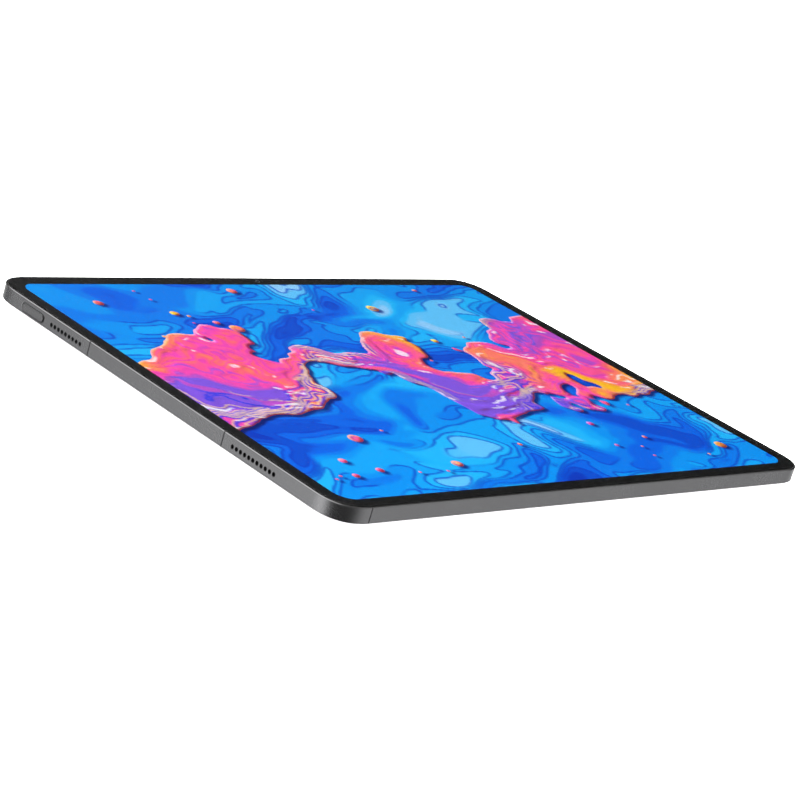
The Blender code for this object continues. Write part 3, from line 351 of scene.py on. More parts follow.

# %% [markdown]
# ## Anodised aluminium
# The shell is machined aluminium, blasted with fine beads and anodised dark grey. Close to, it is a metal with a
# very fine grain that breaks reflections up a little, and the thin bevel round the glass is cut again afterwards
# with a diamond tool, so it is smoother and brighter. One material does both: it reads height on the object, and
# on the bevel it swaps the grain for a polish.


# %% Helpers for materials
class Wiring:
    """Short names for adding nodes to a material and joining them up."""

    def __init__(self, name):
        self.material = bpy.data.materials.new(name)
        self.material.use_nodes = True
        self.tree = self.material.node_tree
        self.shader = self.tree.nodes["Principled BSDF"]

    def add(self, kind, **inputs):
        node = self.tree.nodes.new("ShaderNode" + kind)
        for key, value in inputs.items():
            key = key.replace("_", " ")
            if isinstance(value, bpy.types.NodeSocket):
                self.tree.links.new(value, node.inputs[key])
            else:
                node.inputs[key].default_value = value
        return node

    def link(self, source, target):
        self.tree.links.new(source, target)

    def spots(self):
        return self.add("TexCoord").outputs["Object"]

    def noise(self, scale, detail=3.0, vector=None, rough=0.5):
        vector = self.spots() if vector is None else vector
        return self.add("TexNoise", Vector=vector, Scale=scale, Detail=detail, Roughness=rough).outputs["Fac"]

    def math(self, operation, a, b=0.0, c=0.0):
        node = self.tree.nodes.new("ShaderNodeMath")
        node.operation = operation
        for socket, value in zip(node.inputs, (a, b, c)):
            if isinstance(value, bpy.types.NodeSocket):
                self.tree.links.new(value, socket)
            else:
                socket.default_value = value
        return node.outputs[0]

    def span(self, value, low, high, to_low=0.0, to_high=1.0):
        """Maps a range of a value to another range, held at its ends."""
        node = self.add("MapRange")
        node.clamp = True
        self.link(value, node.inputs["Value"])
        for key, number in zip(("From Min", "From Max", "To Min", "To Max"), (low, high, to_low, to_high)):
            node.inputs[key].default_value = number
        return node.outputs["Result"]

    def ramp(self, value, stops, mode="LINEAR"):
        node = self.add("ValToRGB")
        node.color_ramp.interpolation = mode
        elements = node.color_ramp.elements
        while len(elements) < len(stops):
            elements.new(0.5)
        for element, (place, colour) in zip(elements, stops):
            element.position = place
            element.color = (*colour, 1.0)
        self.link(value, node.inputs["Fac"])
        return node.outputs["Color"]

    def mix(self, fac, a, b, blend="MIX"):
        node = self.tree.nodes.new("ShaderNodeMix")
        node.data_type, node.blend_type = "RGBA", blend
        for index, value in ((0, fac), (6, a), (7, b)):
            socket = node.inputs[index]
            if isinstance(value, bpy.types.NodeSocket):
                self.tree.links.new(value, socket)
            else:
                socket.default_value = value if index == 0 else (*value, 1.0)
        return node.outputs[2]

    def bump(self, height, strength, distance):
        node = self.add("Bump", Height=height, Strength=strength, Distance=distance)
        self.link(node.outputs["Normal"], self.shader.inputs["Normal"])

    def colour(self, source):
        self.link(source, self.shader.inputs["Base Color"])

    def rough(self, source):
        self.link(source, self.shader.inputs["Roughness"])

    def set(self, **inputs):
        for key, value in inputs.items():
            self.shader.inputs[key.replace("_", " ")].default_value = value


def anodised(name, low, high, bevel_from=None):
    """Bead-blasted aluminium between two greys, polished above a height if one is given."""
    w = Wiring(name)
    w.set(Metallic=1.0)
    cloud, grain = w.noise(35.0, 4.0), w.noise(9000.0, 2.0, rough=0.7)
    tone = w.ramp(w.math("MULTIPLY_ADD", grain, 0.8, w.math("MULTIPLY", cloud, 0.2)),
                  ((0.3, low), (0.7, high)))
    gloss = w.math("ADD", w.span(grain, 0.3, 0.7, 0.20, 0.27), w.span(cloud, 0.3, 0.7, -0.02, 0.03))
    height = w.math("MULTIPLY", grain, 1.0)
    if bevel_from is not None:
        z = w.add("SeparateXYZ", Vector=w.spots()).outputs["Z"]
        cut = w.span(z, bevel_from, bevel_from + 0.00003)
        tone = w.mix(cut, tone, (0.40, 0.40, 0.405))
        gloss = w.math("ADD", w.math("MULTIPLY", gloss, w.span(cut, 0, 1, 1.0, 0.35)),
                       w.span(cut, 0, 1, 0.0, 0.06))
        height = w.math("MULTIPLY", height, w.span(cut, 0, 1, 1.0, 0.0))
    w.colour(tone)
    w.rough(gloss)
    w.bump(height, 0.12, 0.00002)
    return w.material


shell_metal = anodised("anodised_shell", (0.27, 0.27, 0.278), (0.32, 0.32, 0.327), RIM - 0.26 * MM)
plain_metal = anodised("anodised_plain", (0.27, 0.27, 0.278), (0.32, 0.32, 0.327))
print("metal ready")

# %% [markdown]
# ## The housing
# The shell is milled from one block: a flat back, four walls, and a stepped rim that the glass drops into.
# One could model it by extruding a rounded rectangle and bevelling it. Carrying a profile round the outline
# gives the same form with full control of each edge: a half-millimetre round at the back, and at the front
# a tiny roll, the diamond-cut bevel, a narrow flat lip and the step down to the ledge.

# %% Make the housing
WALL_TOP = RIM - 0.30 * MM
BACK_ROUND = 0.25 * MM
bend = np.linspace(0, np.pi / 2, 7)
back_edge = [(BACK_ROUND * (1 - math.sin(a)), BACK_ROUND * (1 - math.cos(a))) for a in bend]
rim_edge = [(d * MM, RIM - up * MM) for d, up in (
    (0.0, 0.30), (0.003, 0.28), (0.012, 0.26), (0.028, 0.242), (0.135, 0.135), (0.242, 0.028), (0.26, 0.012),
    (0.28, 0.003), (0.3, 0.0), (0.56, 0.0), (0.59, 0.012), (0.6, 0.04))]
inside_edge = [(0.6 * MM, LEDGE), (0.9 * MM, LEDGE), (SIDE_WALL - 0.03 * MM, LEDGE),
               (SIDE_WALL, LEDGE - 0.03 * MM)]
outer_z = stations(wanted_z, BACK_ROUND, WALL_TOP, 1.0 * MM)
outer_z = np.sort(np.append(outer_z, [BACK_ROUND + 0.04 * MM, WALL_TOP - 0.04 * MM]))
inner_z = stations(wanted_z, FLOOR, LEDGE - 0.03 * MM, 1.0 * MM)

spots, ways = outline(xs, ys, HALF_STEPS)
heap = [patches(carried(spots, ways, [(3 * MM, 0.0), (0.56 * MM, 0.0), *back_edge])),
        patches(carried(spots, ways, rim_edge + inside_edge)),
        patches(carried(spots, ways, [(SIDE_WALL, FLOOR), (3 * MM, FLOOR)]))]
side_starts = {}
start = 0
for side, along in (("right", ys), ("far", xs[::-1]), ("left", ys[::-1]), ("near", xs)):
    side_starts[side] = (start, along)
    start += len(along) - 1 + 2 * HALF_STEPS
walls = {}
for layer, inset, levels in (("outer", 0.0, outer_z), ("inner", SIDE_WALL, inner_z)):
    rows = carried(spots, ways, [(inset, z) for z in levels])
    for side, (begin, along) in side_starts.items():
        end = begin + len(along) - 1
        walls[layer, side] = Wall(rows[:, begin:end + 1], np.sort(along), levels)
        if side in ("far", "left"):
            walls[layer, side].points = rows[:, begin:end + 1][:, ::-1]
        heap.append(patches(rows[:, end:end + 2 * HALF_STEPS + 1]))

FLOOR_INSET = 7 * MM
margin = (HALF - FLOOR_INSET - REACH) * np.linspace(0, 1, HALF_STEPS + 1)[:, None]
all_x = np.concatenate([-(REACH[0] + margin[::-1, 0]), xs[1:-1], REACH[0] + margin[:, 0]])
all_y = np.concatenate([-(REACH[1] + margin[::-1, 1]), ys[1:-1], REACH[1] + margin[:, 1]])
grid_x, grid_y = np.meshgrid(all_x, all_y)
square = frame_line(xs, ys, FLOOR_INSET, HALF_STEPS)
for layer, z in (("outer", 0.0), ("inner", FLOOR)):
    walls[layer, "floor"] = Wall(np.stack([grid_x, grid_y, np.full_like(grid_x, z)], axis=2), all_x, all_y)
    heap.append(patches(closed([lifted(spots - 3 * MM * ways, z), lifted(square, z)])))

X, Y, Z = np.eye(3)
FACING = {"right": (Y, Z, X), "far": (X, Z, Y), "left": (Y, Z, -X), "near": (X, Z, -Y), "floor": (X, Y, -Z)}


def pierce(side, centre, block, rings, wall=SIDE_WALL):
    """Opens a block of cells on both faces of a wall and joins them by rings. block is (left, right, low, high)
    from the centre."""
    along, up, out = FACING[side]
    at = np.array([centre @ along, centre @ up])
    edges = (at[0] + block[0], at[0] + block[1], at[1] + block[2], at[1] + block[3])
    outside = walls["outer", side].block(*edges)
    inside = walls["inner", side].block(*edges)
    heap.append(punch(outside, centre, along, up, out, rings))
    last = [(*rings[-1][:3], 0.0)]
    heap.append(punch(inside, centre - wall * out, along, up, out, last))


def eased(length, width, corner, wall, lip=0.08 * MM):
    """Rings of a straight opening whose mouth is slightly rounded."""
    grow = [(lip, 0.0), (0.3 * lip, 0.3 * lip), (0.0, lip), (0.0, wall)]
    return [(length + 2 * g, width + 2 * g, corner + g, d) for g, d in grow]


for centre, count in hole_rows:
    for i in range(count):
        y = centre + (i - (count - 1) / 2) * HOLE_PITCH
        cell = (-HOLE_PITCH / 2, HOLE_PITCH / 2) * 2
        hole = eased(2 * HOLE_RADIUS, 2 * HOLE_RADIUS, HOLE_RADIUS * 0.9999, SIDE_WALL)
        for side, sign in (("left", -1), ("right", 1)):
            pierce(side, np.array([sign * HALF[0], y, side_z]), cell, hole)
LIP = 1.5 * MM  # depth at which a button's slot opens out into the pocket for its flange
for side, spot, (length, width), high in (
    ("left", np.array([-HALF[0], power_y, side_z]), POWER, 2.0 * MM),
    ("far", np.array([volume_x[0], HALF[1], side_z]), VOLUME, 1.75 * MM),
    ("far", np.array([volume_x[1], HALF[1], side_z]), VOLUME, 1.75 * MM),
):
    reach = length / 2 + 1.4 * MM
    rings = eased(length, width, width / 2 * 0.9999, LIP)
    pocket = (length + 1.8 * MM, width, 0.00001 * MM)
    pierce(side, spot, (-reach, reach, -high, high), [*rings, (*pocket, LIP), (*pocket, SIDE_WALL)])
for x in mic_x:
    cell = (-0.9 * MM, 0.9 * MM) * 2
    pierce("far", np.array([x, HALF[1], side_z]), cell,
           eased(0.8 * MM, 0.8 * MM, 0.3999 * MM, SIDE_WALL, 0.05 * MM))
reach = SOCKET[0] / 2 + 0.8 * MM
pierce("right", np.array([HALF[0], 0.0, port[2]]), (-reach, reach, -1.71 * MM, 1.71 * MM),
       eased(*SOCKET, SOCKET[1] / 2 * 0.9999, SIDE_WALL, 0.015 * MM))
for spot in contact_spots:
    cell = (-2.4 * MM, 2.4 * MM) * 2
    pierce("floor", np.array([spot[0], spot[1], 0.0]), cell, eased(3.0 * MM, 3.0 * MM, 1.4999 * MM, FLOOR),
           FLOOR)
seat_cells = (island[0] - 17 * MM, island[0] + 17 * MM, island[1] - 8.4 * MM, island[1] + 8.4 * MM)
seat_rings = eased(*ISLAND, ISLAND[1] / 2 * 0.9999, SEAT_DEPTH)
for layer, top, rings, deep in (("outer", 0.0, seat_rings, FLOOR - SEAT_DEPTH),
                                ("inner", FLOOR, [(*seat_rings[-1][:3], 0.0)], None)):
    loop, at = walls[layer, "floor"].block(*seat_cells), np.array([island[0], island[1], top])
    heap.append(punch(loop, at, X, Y, -Z, rings))
    seat_loop = ring_points(loop, at, X, Y, -Z, rings[-1])
    for half, (spot, radius) in zip(halves(seat_loop, at, X, Y), CAMERA_OPENINGS):
        bore = [(2 * radius, 2 * radius, radius * 0.9999, d) for d in (0.0, deep) if d is not None]
        heap.append(punch(half, np.array([*spot, top + rings[-1][3]]), X, Y, -Z, bore))
heap += [patches(wall.points, wall.keep) for wall in walls.values()]
piece("housing_shell", heap, shell_metal, ["rear_housing"])

# %% [markdown]
# ## Antenna lines
# Radio waves can't leave a metal shell, so it is split by two thin plastic lines that let the aerials at the
# left end work. Each line starts at the rim of the left side, goes under the back, turns a corner and climbs
# the long side again. It is one ribbon carried along that path. A ribbon is easiest to keep clean when each
# station has its own frame: a point on the metal, the direction across the line and the direction outwards.

# %% Make the antenna lines
def dotted(name, base, light, speck_scale, gloss, spread=0.3, bump=0.15, metallic=0.0):
    """A plain solid colour broken up by fine specks, with uneven gloss and a slight grain."""
    w = Wiring(name)
    w.set(Metallic=metallic)
    speck, cloud = w.noise(speck_scale, 3.0, rough=0.65), w.noise(speck_scale / 40, 3.0)
    both = w.math("MULTIPLY_ADD", speck, 0.6, w.math("MULTIPLY", cloud, 0.4))
    w.colour(w.ramp(both, ((0.35, base), (0.65, light))))
    w.rough(w.math("ADD", w.span(both, 0.35, 0.65, gloss * (1 - spread), gloss * (1 + spread)), 0.0))
    w.bump(speck, bump, 0.00002)
    return w.material


strip_plastic = dotted("antenna_plastic", (0.008, 0.008, 0.009), (0.012, 0.012, 0.013), 6000.0, 0.42)
strip_plastic.node_tree.nodes["Principled BSDF"].inputs["Specular IOR Level"].default_value = 0.15
STRIP_WIDTH, STRIP_BEND, PROUD = 0.6 * MM, 5.0 * MM, 0.012 * MM
profile = np.array(back_edge + [(0.0, z * MM) for z in (0.7, 1.5, 2.7, 4.0, 5.2)] + rim_edge[:11])
slope = np.gradient(profile, axis=0)
normal = np.stack([-slope[:, 1], slope[:, 0]], axis=1)  # (inwards share, upwards share) of the way out
normal /= np.linalg.norm(normal, axis=1, keepdims=True)
level = np.zeros(len(profile))


def surface_dip(x):
    """How far the long side has drawn in at a distance x along it, past the start of the corner."""
    past = max(0.0, abs(x) - REACH[0]) / CORNER
    return CORNER * (1 - (1 - past ** SOFTNESS) ** (1 / SOFTNESS))


def antenna_line(name, y_start, x_end, sign, stands_for):
    """A ribbon from the left side's rim, under the back and up the long side on the side given by sign."""
    left = np.column_stack([profile[:, 0] - HALF[0], level + y_start, profile[:, 1]])[::-1]
    left_out = np.column_stack([normal[:, 0], level, normal[:, 1]])[::-1]
    turn = np.linspace(0, np.pi / 2, 13)
    bend_x, bend_y = x_end - STRIP_BEND, y_start + sign * STRIP_BEND
    arc = np.column_stack([bend_x + STRIP_BEND * np.sin(turn), bend_y - sign * STRIP_BEND * np.cos(turn),
                           0 * turn])
    arc_side = np.column_stack([-np.sin(turn), sign * np.cos(turn), 0 * turn])
    run = np.linspace(arc[-1], [x_end, sign * (HALF[1] - BACK_ROUND), 0.0], 12)[1:-1]
    reach = HALF[1] - surface_dip(x_end) - profile[:, 0]
    climb = np.column_stack([level + x_end, sign * reach, profile[:, 1]])
    climb_out = np.column_stack([level, -sign * normal[:, 0], normal[:, 1]])
    spots = np.concatenate([left, arc, run, climb])
    out = np.concatenate([left_out, np.tile(-Z, (len(arc) + len(run), 1)), climb_out])
    side = np.concatenate([np.tile(sign * Y, (len(left), 1)), arc_side,
                           np.tile(-X, (len(run) + len(climb), 1))])
    ring = [(-0.5, PROUD - 0.01 * MM), (-0.46, PROUD), (0.46, PROUD), (0.5, PROUD - 0.01 * MM),
            (0.5, -0.1 * MM),
            (-0.5, -0.1 * MM)]
    rows = np.stack([spots + a * STRIP_WIDTH * side + h * out for a, h in ring + ring[:1]])
    middle_line = spots - 0.05 * MM * out
    caps = [patches(np.stack([rows[:, i], np.tile(middle_line[i], (7, 1))])) for i in (0, -1)]
    return piece(name, [patches(rows), *caps], strip_plastic, [stands_for])


for name, sign in (("near", -1), ("far", 1)):
    low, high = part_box(f"antenna_strip_{name}")
    y_start = (low[1] if sign > 0 else high[1]) + sign * STRIP_WIDTH / 2
    antenna_line(f"antenna_line_{name}", y_start, high[0] - STRIP_WIDTH / 2, sign, f"antenna_strip_{name}")

# %% [markdown]
# ## Buttons
# Each button is a milled cap that slides in a slot with a hair's gap round it. A wider flange behind the
# wall stops it falling out, and a short stem touches the switch. The cap's outline is a pill, which is a
# rectangle with half circles for ends. The rows of the surface are that pill at a list of depths, and the
# front face closes on the pill's middle line, so there is no pole where shading could pinch.


# %% Make the buttons
def pill_loop(length, width, apart):
    """Points round a pill from the middle of its lower side, anticlockwise, and the directions out of it."""
    r, flat = width / 2, (length - width) / 2
    steps = max(1, round(flat / apart))
    run = np.linspace(0, flat, steps + 1)
    turn = np.linspace(-np.pi / 2, np.pi / 2, 25)
    right = np.column_stack([flat + r * np.cos(turn), r * np.sin(turn)])
    right_out = np.column_stack([np.cos(turn), np.sin(turn)])
    half = np.concatenate([np.column_stack([run, 0 * run - r]), right[1:],
                           np.column_stack([run[::-1], 0 * run + r])[1:]])
    out = np.concatenate([np.tile([0.0, -1.0], (len(run), 1)), right_out[1:],
                          np.tile([0.0, 1.0], (len(run) - 1, 1))])
    return np.concatenate([half[:-1], -half[:-1]]), np.concatenate([out[:-1], -out[:-1]])


def rolled(radius, top, steps=5):
    """(growth, height) pairs that roll over an edge, from the flat top of a shape to its side."""
    turn = np.linspace(0, np.pi / 2, steps + 1)
    return [(-radius * (1 - math.sin(a)), top - radius * (1 - math.cos(a))) for a in turn]


def placed(rows, centre, along, up, out):
    """Rows of (flat points, height) set in space on a wall."""
    return closed([centre + np.outer(f[:, 0], along) + np.outer(f[:, 1], up) + h * out for f, h in rows])


def button(name, node, side, length, width, body):
    """A pill cap with a rolled edge, a longer flange behind it, and a round stem."""
    low, high = (np.array(c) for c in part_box(node))
    along, up, out = FACING[side]
    face = float(np.max(np.array([low, high]) @ out))
    foot = float(np.min(np.array([low, high]) @ out)) - face
    centre = (low + high) / 2
    centre = centre + (face - centre @ out) * out
    loop, ways = pill_loop(length, width, 0.7 * MM)
    core = np.column_stack([np.clip(loop[:, 0], -(length - width) / 2, (length - width) / 2), 0 * loop[:, 0]])
    flange = loop + ways * [FLANGE_LIP, 0.0]
    spoke = loop / [length / 2, width / 2]
    stem = STEM_RADIUS * spoke / np.linalg.norm(spoke, axis=1, keepdims=True)
    deep = CAP_DEPTH - 0.1 * MM
    rows = [(core, 0.0), (loop - 0.5 * MM * ways, 0.0)] + [(loop + g * ways, h) for g,
                                                           h in rolled(0.28 * MM, 0.0)]
    rows += [(loop, -0.7 * MM), (loop, -deep), (flange, -deep), (flange, -deep - FLANGE),
             (stem, -deep - FLANGE),
             (stem, foot), (0 * stem, foot)]
    return piece(name, [patches(placed(rows, centre, along, up, out))], button_metal,
                 [node], body)


FLANGE_LIP, FLANGE, STEM_RADIUS, CAP_DEPTH = 0.85 * MM, 0.5 * MM, 0.8 * MM, 2.1 * MM
button_metal = anodised("anodised_button", (0.25, 0.25, 0.257), (0.30, 0.30, 0.306))
caps = {}
for name, node, side, size, body in (
    ("power_cap", "power_button", "left", (14.0 * MM, 3.3 * MM), "power_button"),
    ("volume_up_cap", "volume_up_button", "far", (11.0 * MM, 2.8 * MM), "volume_up"),
    ("volume_down_cap", "volume_down_button", "far", (11.0 * MM, 2.8 * MM), "volume_down"),
):
    caps[name] = button(name, node, side, *size, body)

# %% [markdown]
# ## Glass, its black print and the rubber round it
# The glass is a real pane here: light goes in at the top, crosses it and comes out again, so the picture
# below it shows through while the room is mirrored on top. Behind its border lies a thin black print, which
# hides the glue and the edge of the display. A soft black frame keeps the glass off the metal. In the border
# the print leaves a small round window for the front camera.

# %% Make the gasket, the glass and the print
def film(name, rgb, gloss, speck_scale=4000.0, bump=0.1):
    """A dark, almost plain film with slightly uneven gloss."""
    return dotted(name, rgb, tuple(c * 1.5 + 0.002 for c in rgb), speck_scale, gloss, 0.15, bump)


gasket_low, gasket_high = (np.array(c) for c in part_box("glass_gasket"))
GASKET_INSET = float(HALF[0] - gasket_high[0])
GASKET_FOOT, GASKET_TOP = float(gasket_low[2]), float(gasket_high[2])
GLASS_INSET = float(HALF[0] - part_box("cover_glass")[1][0])
LIP_END = GLASS_INSET - 0.1 * MM
rubber = film("gasket_rubber", (0.006, 0.006, 0.006), 0.6)
rubber_profile = [(GASKET_INSET, GASKET_FOOT), (GASKET_INSET, GASKET_TOP - 0.06 * MM),
                  (GASKET_INSET + 0.02 * MM, GASKET_TOP - 0.02 * MM),
                  (GASKET_INSET + 0.06 * MM, GASKET_TOP - 0.0 * MM), (LIP_END - 0.06 * MM, GASKET_TOP),
                  (LIP_END, GASKET_TOP - 0.05 * MM),
                  (LIP_END, GASKET_FOOT + 0.3 * MM), (SIDE_WALL, GASKET_FOOT + 0.3 * MM),
                  (SIDE_WALL, GASKET_FOOT), (GASKET_INSET, GASKET_FOOT)]
soft_x, soft_y = np.linspace(-REACH[0], REACH[0], 42), np.linspace(-REACH[1], REACH[1], 32)
loop, loop_out = outline(soft_x, soft_y, 14)
piece("glass_seal", [patches(carried(loop, loop_out, rubber_profile))], rubber,
      ["glass_gasket"])


def clear_pane(name):
    """Clear glass with the faintest uneven film of handling on it."""
    w = Wiring(name)
    w.set(Base_Color=(0.97, 0.98, 0.985, 1.0), IOR=1.5, Transmission_Weight=1.0)
    smear = w.math("MULTIPLY", w.noise(22.0, 5.0), w.noise(60.0, 3.0))
    w.rough(w.span(smear, 0.15, 0.4, 0.0, 0.035))
    w.bump(w.noise(15.0, 2.0), 0.02, 0.00002)
    return w.material


pane_rows = [(GLASS_INSET + g, GLASS_LOW + h) for g, h in ((0.06 * MM, 0.0), (0.0, 0.06 * MM))]
pane_rows += [(GLASS_INSET - g, h) for g, h in rolled(0.22 * MM, GLASS_TOP, 6)[::-1]]
pane_square = [lifted(frame_line(soft_x, soft_y, 7 * MM, 14), z) for z in (GLASS_LOW, GLASS_TOP)]
pane_rim = carried(loop, loop_out, pane_rows)
square_x = np.concatenate([-(REACH[0] + (HALF[0] - 7 * MM - REACH[0]) * np.linspace(1, 0, 15)), soft_x[1:-1],
                           REACH[0] + (HALF[0] - 7 * MM - REACH[0]) * np.linspace(0, 1, 15)])
square_y = np.concatenate([-(REACH[1] + (HALF[1] - 7 * MM - REACH[1]) * np.linspace(1, 0, 15)), soft_y[1:-1],
                           REACH[1] + (HALF[1] - 7 * MM - REACH[1]) * np.linspace(0, 1, 15)])
flat_x, flat_y = np.meshgrid(square_x, square_y)
pane = [patches(closed([pane_square[0], lifted(loop - 3 * MM * loop_out, GLASS_LOW)])),
        patches(closed([lifted(loop - 3 * MM * loop_out, GLASS_LOW), pane_rim[0][:-1]])), patches(pane_rim),
        patches(closed([pane_rim[-1][:-1], lifted(loop - 3 * MM * loop_out, GLASS_TOP)])),
        patches(closed([lifted(loop - 3 * MM * loop_out, GLASS_TOP), pane_square[1]]))]
pane += [patches(np.stack([flat_x, flat_y, np.full_like(flat_x, z)], axis=2)) for z in (GLASS_LOW, GLASS_TOP)]
piece("glass_pane", pane, clear_pane("cover_glass_clear"), ["cover_glass"])

lcd_low, lcd_high = (np.array(c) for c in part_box("lcd_panel"))
LIT = np.array([132.1 * MM, 99.0 * MM])
LIT_CORNER = 7.0 * MM
PRINT_LOW, PRINT_TOP = GLASS_LOW - 0.08 * MM, GLASS_LOW - 0.02 * MM
PRINT_OUT = GLASS_INSET + 0.25 * MM


def lit_edge(points):
    """Points moved to the edge of the lit picture, a rectangle with round corners."""
    inner = np.clip(points, -(LIT - LIT_CORNER), LIT - LIT_CORNER)
    way = points - inner
    return inner + LIT_CORNER * way / np.linalg.norm(way, axis=1, keepdims=True)


camera_x, camera_y = (float(v) for v in middle("front_camera")[:2])
WINDOW = 1.25 * MM
window_x = camera_x + np.linspace(-2.6, 2.6, 13) * MM
print_x = stations([window_x], -REACH[0], REACH[0], 8 * MM)
print_spots, print_out = outline(print_x, soft_y, 14)
outer_edge = print_spots - PRINT_OUT * print_out
inner_edge = lit_edge(print_spots)
share = np.array([0.0, (HALF[1] - PRINT_OUT - camera_y - 2.3 * MM) / (HALF[1] - PRINT_OUT - LIT[1]),
                  (HALF[1] - PRINT_OUT - camera_y + 2.3 * MM) / (HALF[1] - PRINT_OUT - LIT[1]), 1.0])
band = np.stack([outer_edge + (inner_edge - outer_edge) * t for t in share])
sheets = {}
for z in (PRINT_LOW, PRINT_TOP):
    rows = closed([lifted(row, z) for row in band])
    on_far = (np.abs(rows[0, :, 0] - camera_x) < 2.61 * MM) & (rows[0, :, 1] > 0)
    columns = np.flatnonzero(on_far)
    keep = np.ones((3, rows.shape[1] - 1), bool)
    keep[1, columns[0]:columns[-1]] = False
    edge = np.concatenate([rows[1, columns], rows[2, columns[::-1]]])
    sheets[z] = (rows, keep, edge)
heap = [patches(rows, keep) for rows, keep, _ in sheets.values()]
heap += [patches(np.stack([sheets[PRINT_LOW][0][i], sheets[PRINT_TOP][0][i]])) for i in (0, -1)]
at = np.array([camera_x, camera_y, PRINT_TOP])
bore = [(2 * WINDOW, 2 * WINDOW, WINDOW * 0.9999, d) for d in (0.0, PRINT_TOP - PRINT_LOW)]
heap.append(punch(sheets[PRINT_TOP][2], at, X, Y, Z, bore, steps=2))
heap.append(punch(sheets[PRINT_LOW][2], at - Z * (PRINT_TOP - PRINT_LOW), X, Y, Z, [(*bore[0][:3], 0.0)],
                  steps=2))
ink = film("print_ink", (0.0035, 0.0035, 0.004), 0.35)
ink.node_tree.nodes["Principled BSDF"].inputs["Specular IOR Level"].default_value = 0.25
piece("black_print", heap, ink)

# %% [markdown]
# ## The lit picture
# The display is a thin panel whose picture glows, and the picture is what one sees first. It shows marbled
# paint: a blue ground in terraces, and a warm band of pink, orange and yellow across it. An image file would
# be the usual way, but a picture worked out from formulas needs no file and can be changed freely. All of it
# is built from a few fields, which are numbers that vary smoothly over the picture. A cloud of seeded noise
# bends the coordinates, so that every line flows. A plain wave, bent the same way, gives the distance inside
# the band. Colours are then read off a list of stops, as on a colour ramp.

# %% Fields of poured paint
def smooth_noise(x, y, seed):
    """Random values on a square lattice, joined smoothly: from -1 to 1."""
    grid = np.random.default_rng(seed).uniform(-1, 1, (64, 64))
    i, j = np.floor(x).astype(int), np.floor(y).astype(int)
    u, v = x - i, y - j
    u, v = u * u * u * (u * (6 * u - 15) + 10), v * v * v * (v * (6 * v - 15) + 10)
    a, b = grid[j % 64, i % 64], grid[j % 64, (i + 1) % 64]
    c, d = grid[(j + 1) % 64, i % 64], grid[(j + 1) % 64, (i + 1) % 64]
    return (a * (1 - u) + b * u) * (1 - v) + (c * (1 - u) + d * u) * v


def cloud(x, y, seed, octaves=4):
    return sum(smooth_noise(x * 2**k + 7.3 * k, y * 2**k + 3.1 * k, seed + k) / 2**k for k in range(octaves))


def ease(value, low, high):
    t = np.clip((value - low) / (high - low), 0, 1)
    return t * t * (3 - 2 * t)


SKY = [(0.0, "0036B8"), (0.3, "0066E6"), (0.6, "0096F2"), (0.85, "18B4FA"), (1.1, "8CCBFA")]
WARM = [(0.0, "FFC41E"), (0.3, "FF9650"), (0.55, "FF6678"), (0.75, "FF48AC"), (1.0, "8054DC")]
DROPS = 48


def blend_of(value, stops):
    """Colours read off a list of (place, six-figure colour) at each value, in screen numbers."""
    places = [place for place, _ in stops]
    table = np.array([[int(code[i:i + 2], 16) / 255 for i in (0, 2, 4)] for _, code in stops])
    return np.stack([np.interp(value, places, table[:, i]) for i in range(3)], axis=-1)


def moved(field, right, down):
    """A field moved by whole cells, its edge values repeated."""
    height, width = field.shape
    rows = np.clip(np.arange(height) - down, 0, height - 1)
    columns = np.clip(np.arange(width) - right, 0, width - 1)
    return field[rows][:, columns]


def layered(under, over, amount):
    return under + (over - under) * np.clip(amount, 0, 1)[..., None]


def stepped(value, count, soft):
    """A value turned into level terraces with soft steps between them."""
    steps = value * count
    return (np.floor(steps) + ease(steps - np.floor(steps), 0.5 - soft, 0.5 + soft)) / count


def line_on(field, cell, width):
    """1 on the lines where a field passes a whole number, as lines of one width however steep the field is."""
    slope_y, slope_x = np.gradient(field, cell)
    away = np.abs((field + 0.5) % 1 - 0.5) / (np.hypot(slope_x, slope_y) + 0.02)
    return 1 - ease(away, 0.4 * width, width)


def blue_ground(X, Y, cell):
    """Broad waves of blue, cut into terraces, with a dark line here and there along a step."""
    x = X + 8 * cloud(X / 30, Y / 30, 60, 3)
    y = Y + 8 * cloud(X / 30, Y / 30, 80, 3)
    wave = np.sin(2 * np.pi * ((x + 2 * y) / 48 + 0.6 * cloud(x / 40, y / 24, 90, 3)))
    tone = 0.5 + 0.2 * wave + 0.4 * cloud(x / 34, y / 16, 33, 3)
    ground = blend_of(stepped(tone, 7, 0.25), SKY)
    lines = line_on(tone * 7 + 0.5, cell, 0.42) * ease(cloud(x / 20, y / 14, 75, 2), -0.3, 0.2)
    return layered(ground, np.array([0.0, 0.2, 0.72]), 0.6 * lines)


def scattered_drops(X, Y):
    """How far inside the nearest of many small round drops each point is."""
    chance = np.random.default_rng(12)
    best = np.full(X.shape, -1e3)
    for _ in range(DROPS):
        x, y, size = chance.uniform(3, 130), chance.uniform(3, 97), 0.4 + 1.6 * chance.random() ** 3
        best = np.maximum(best, size - np.hypot(X - x, Y - y))
    return best


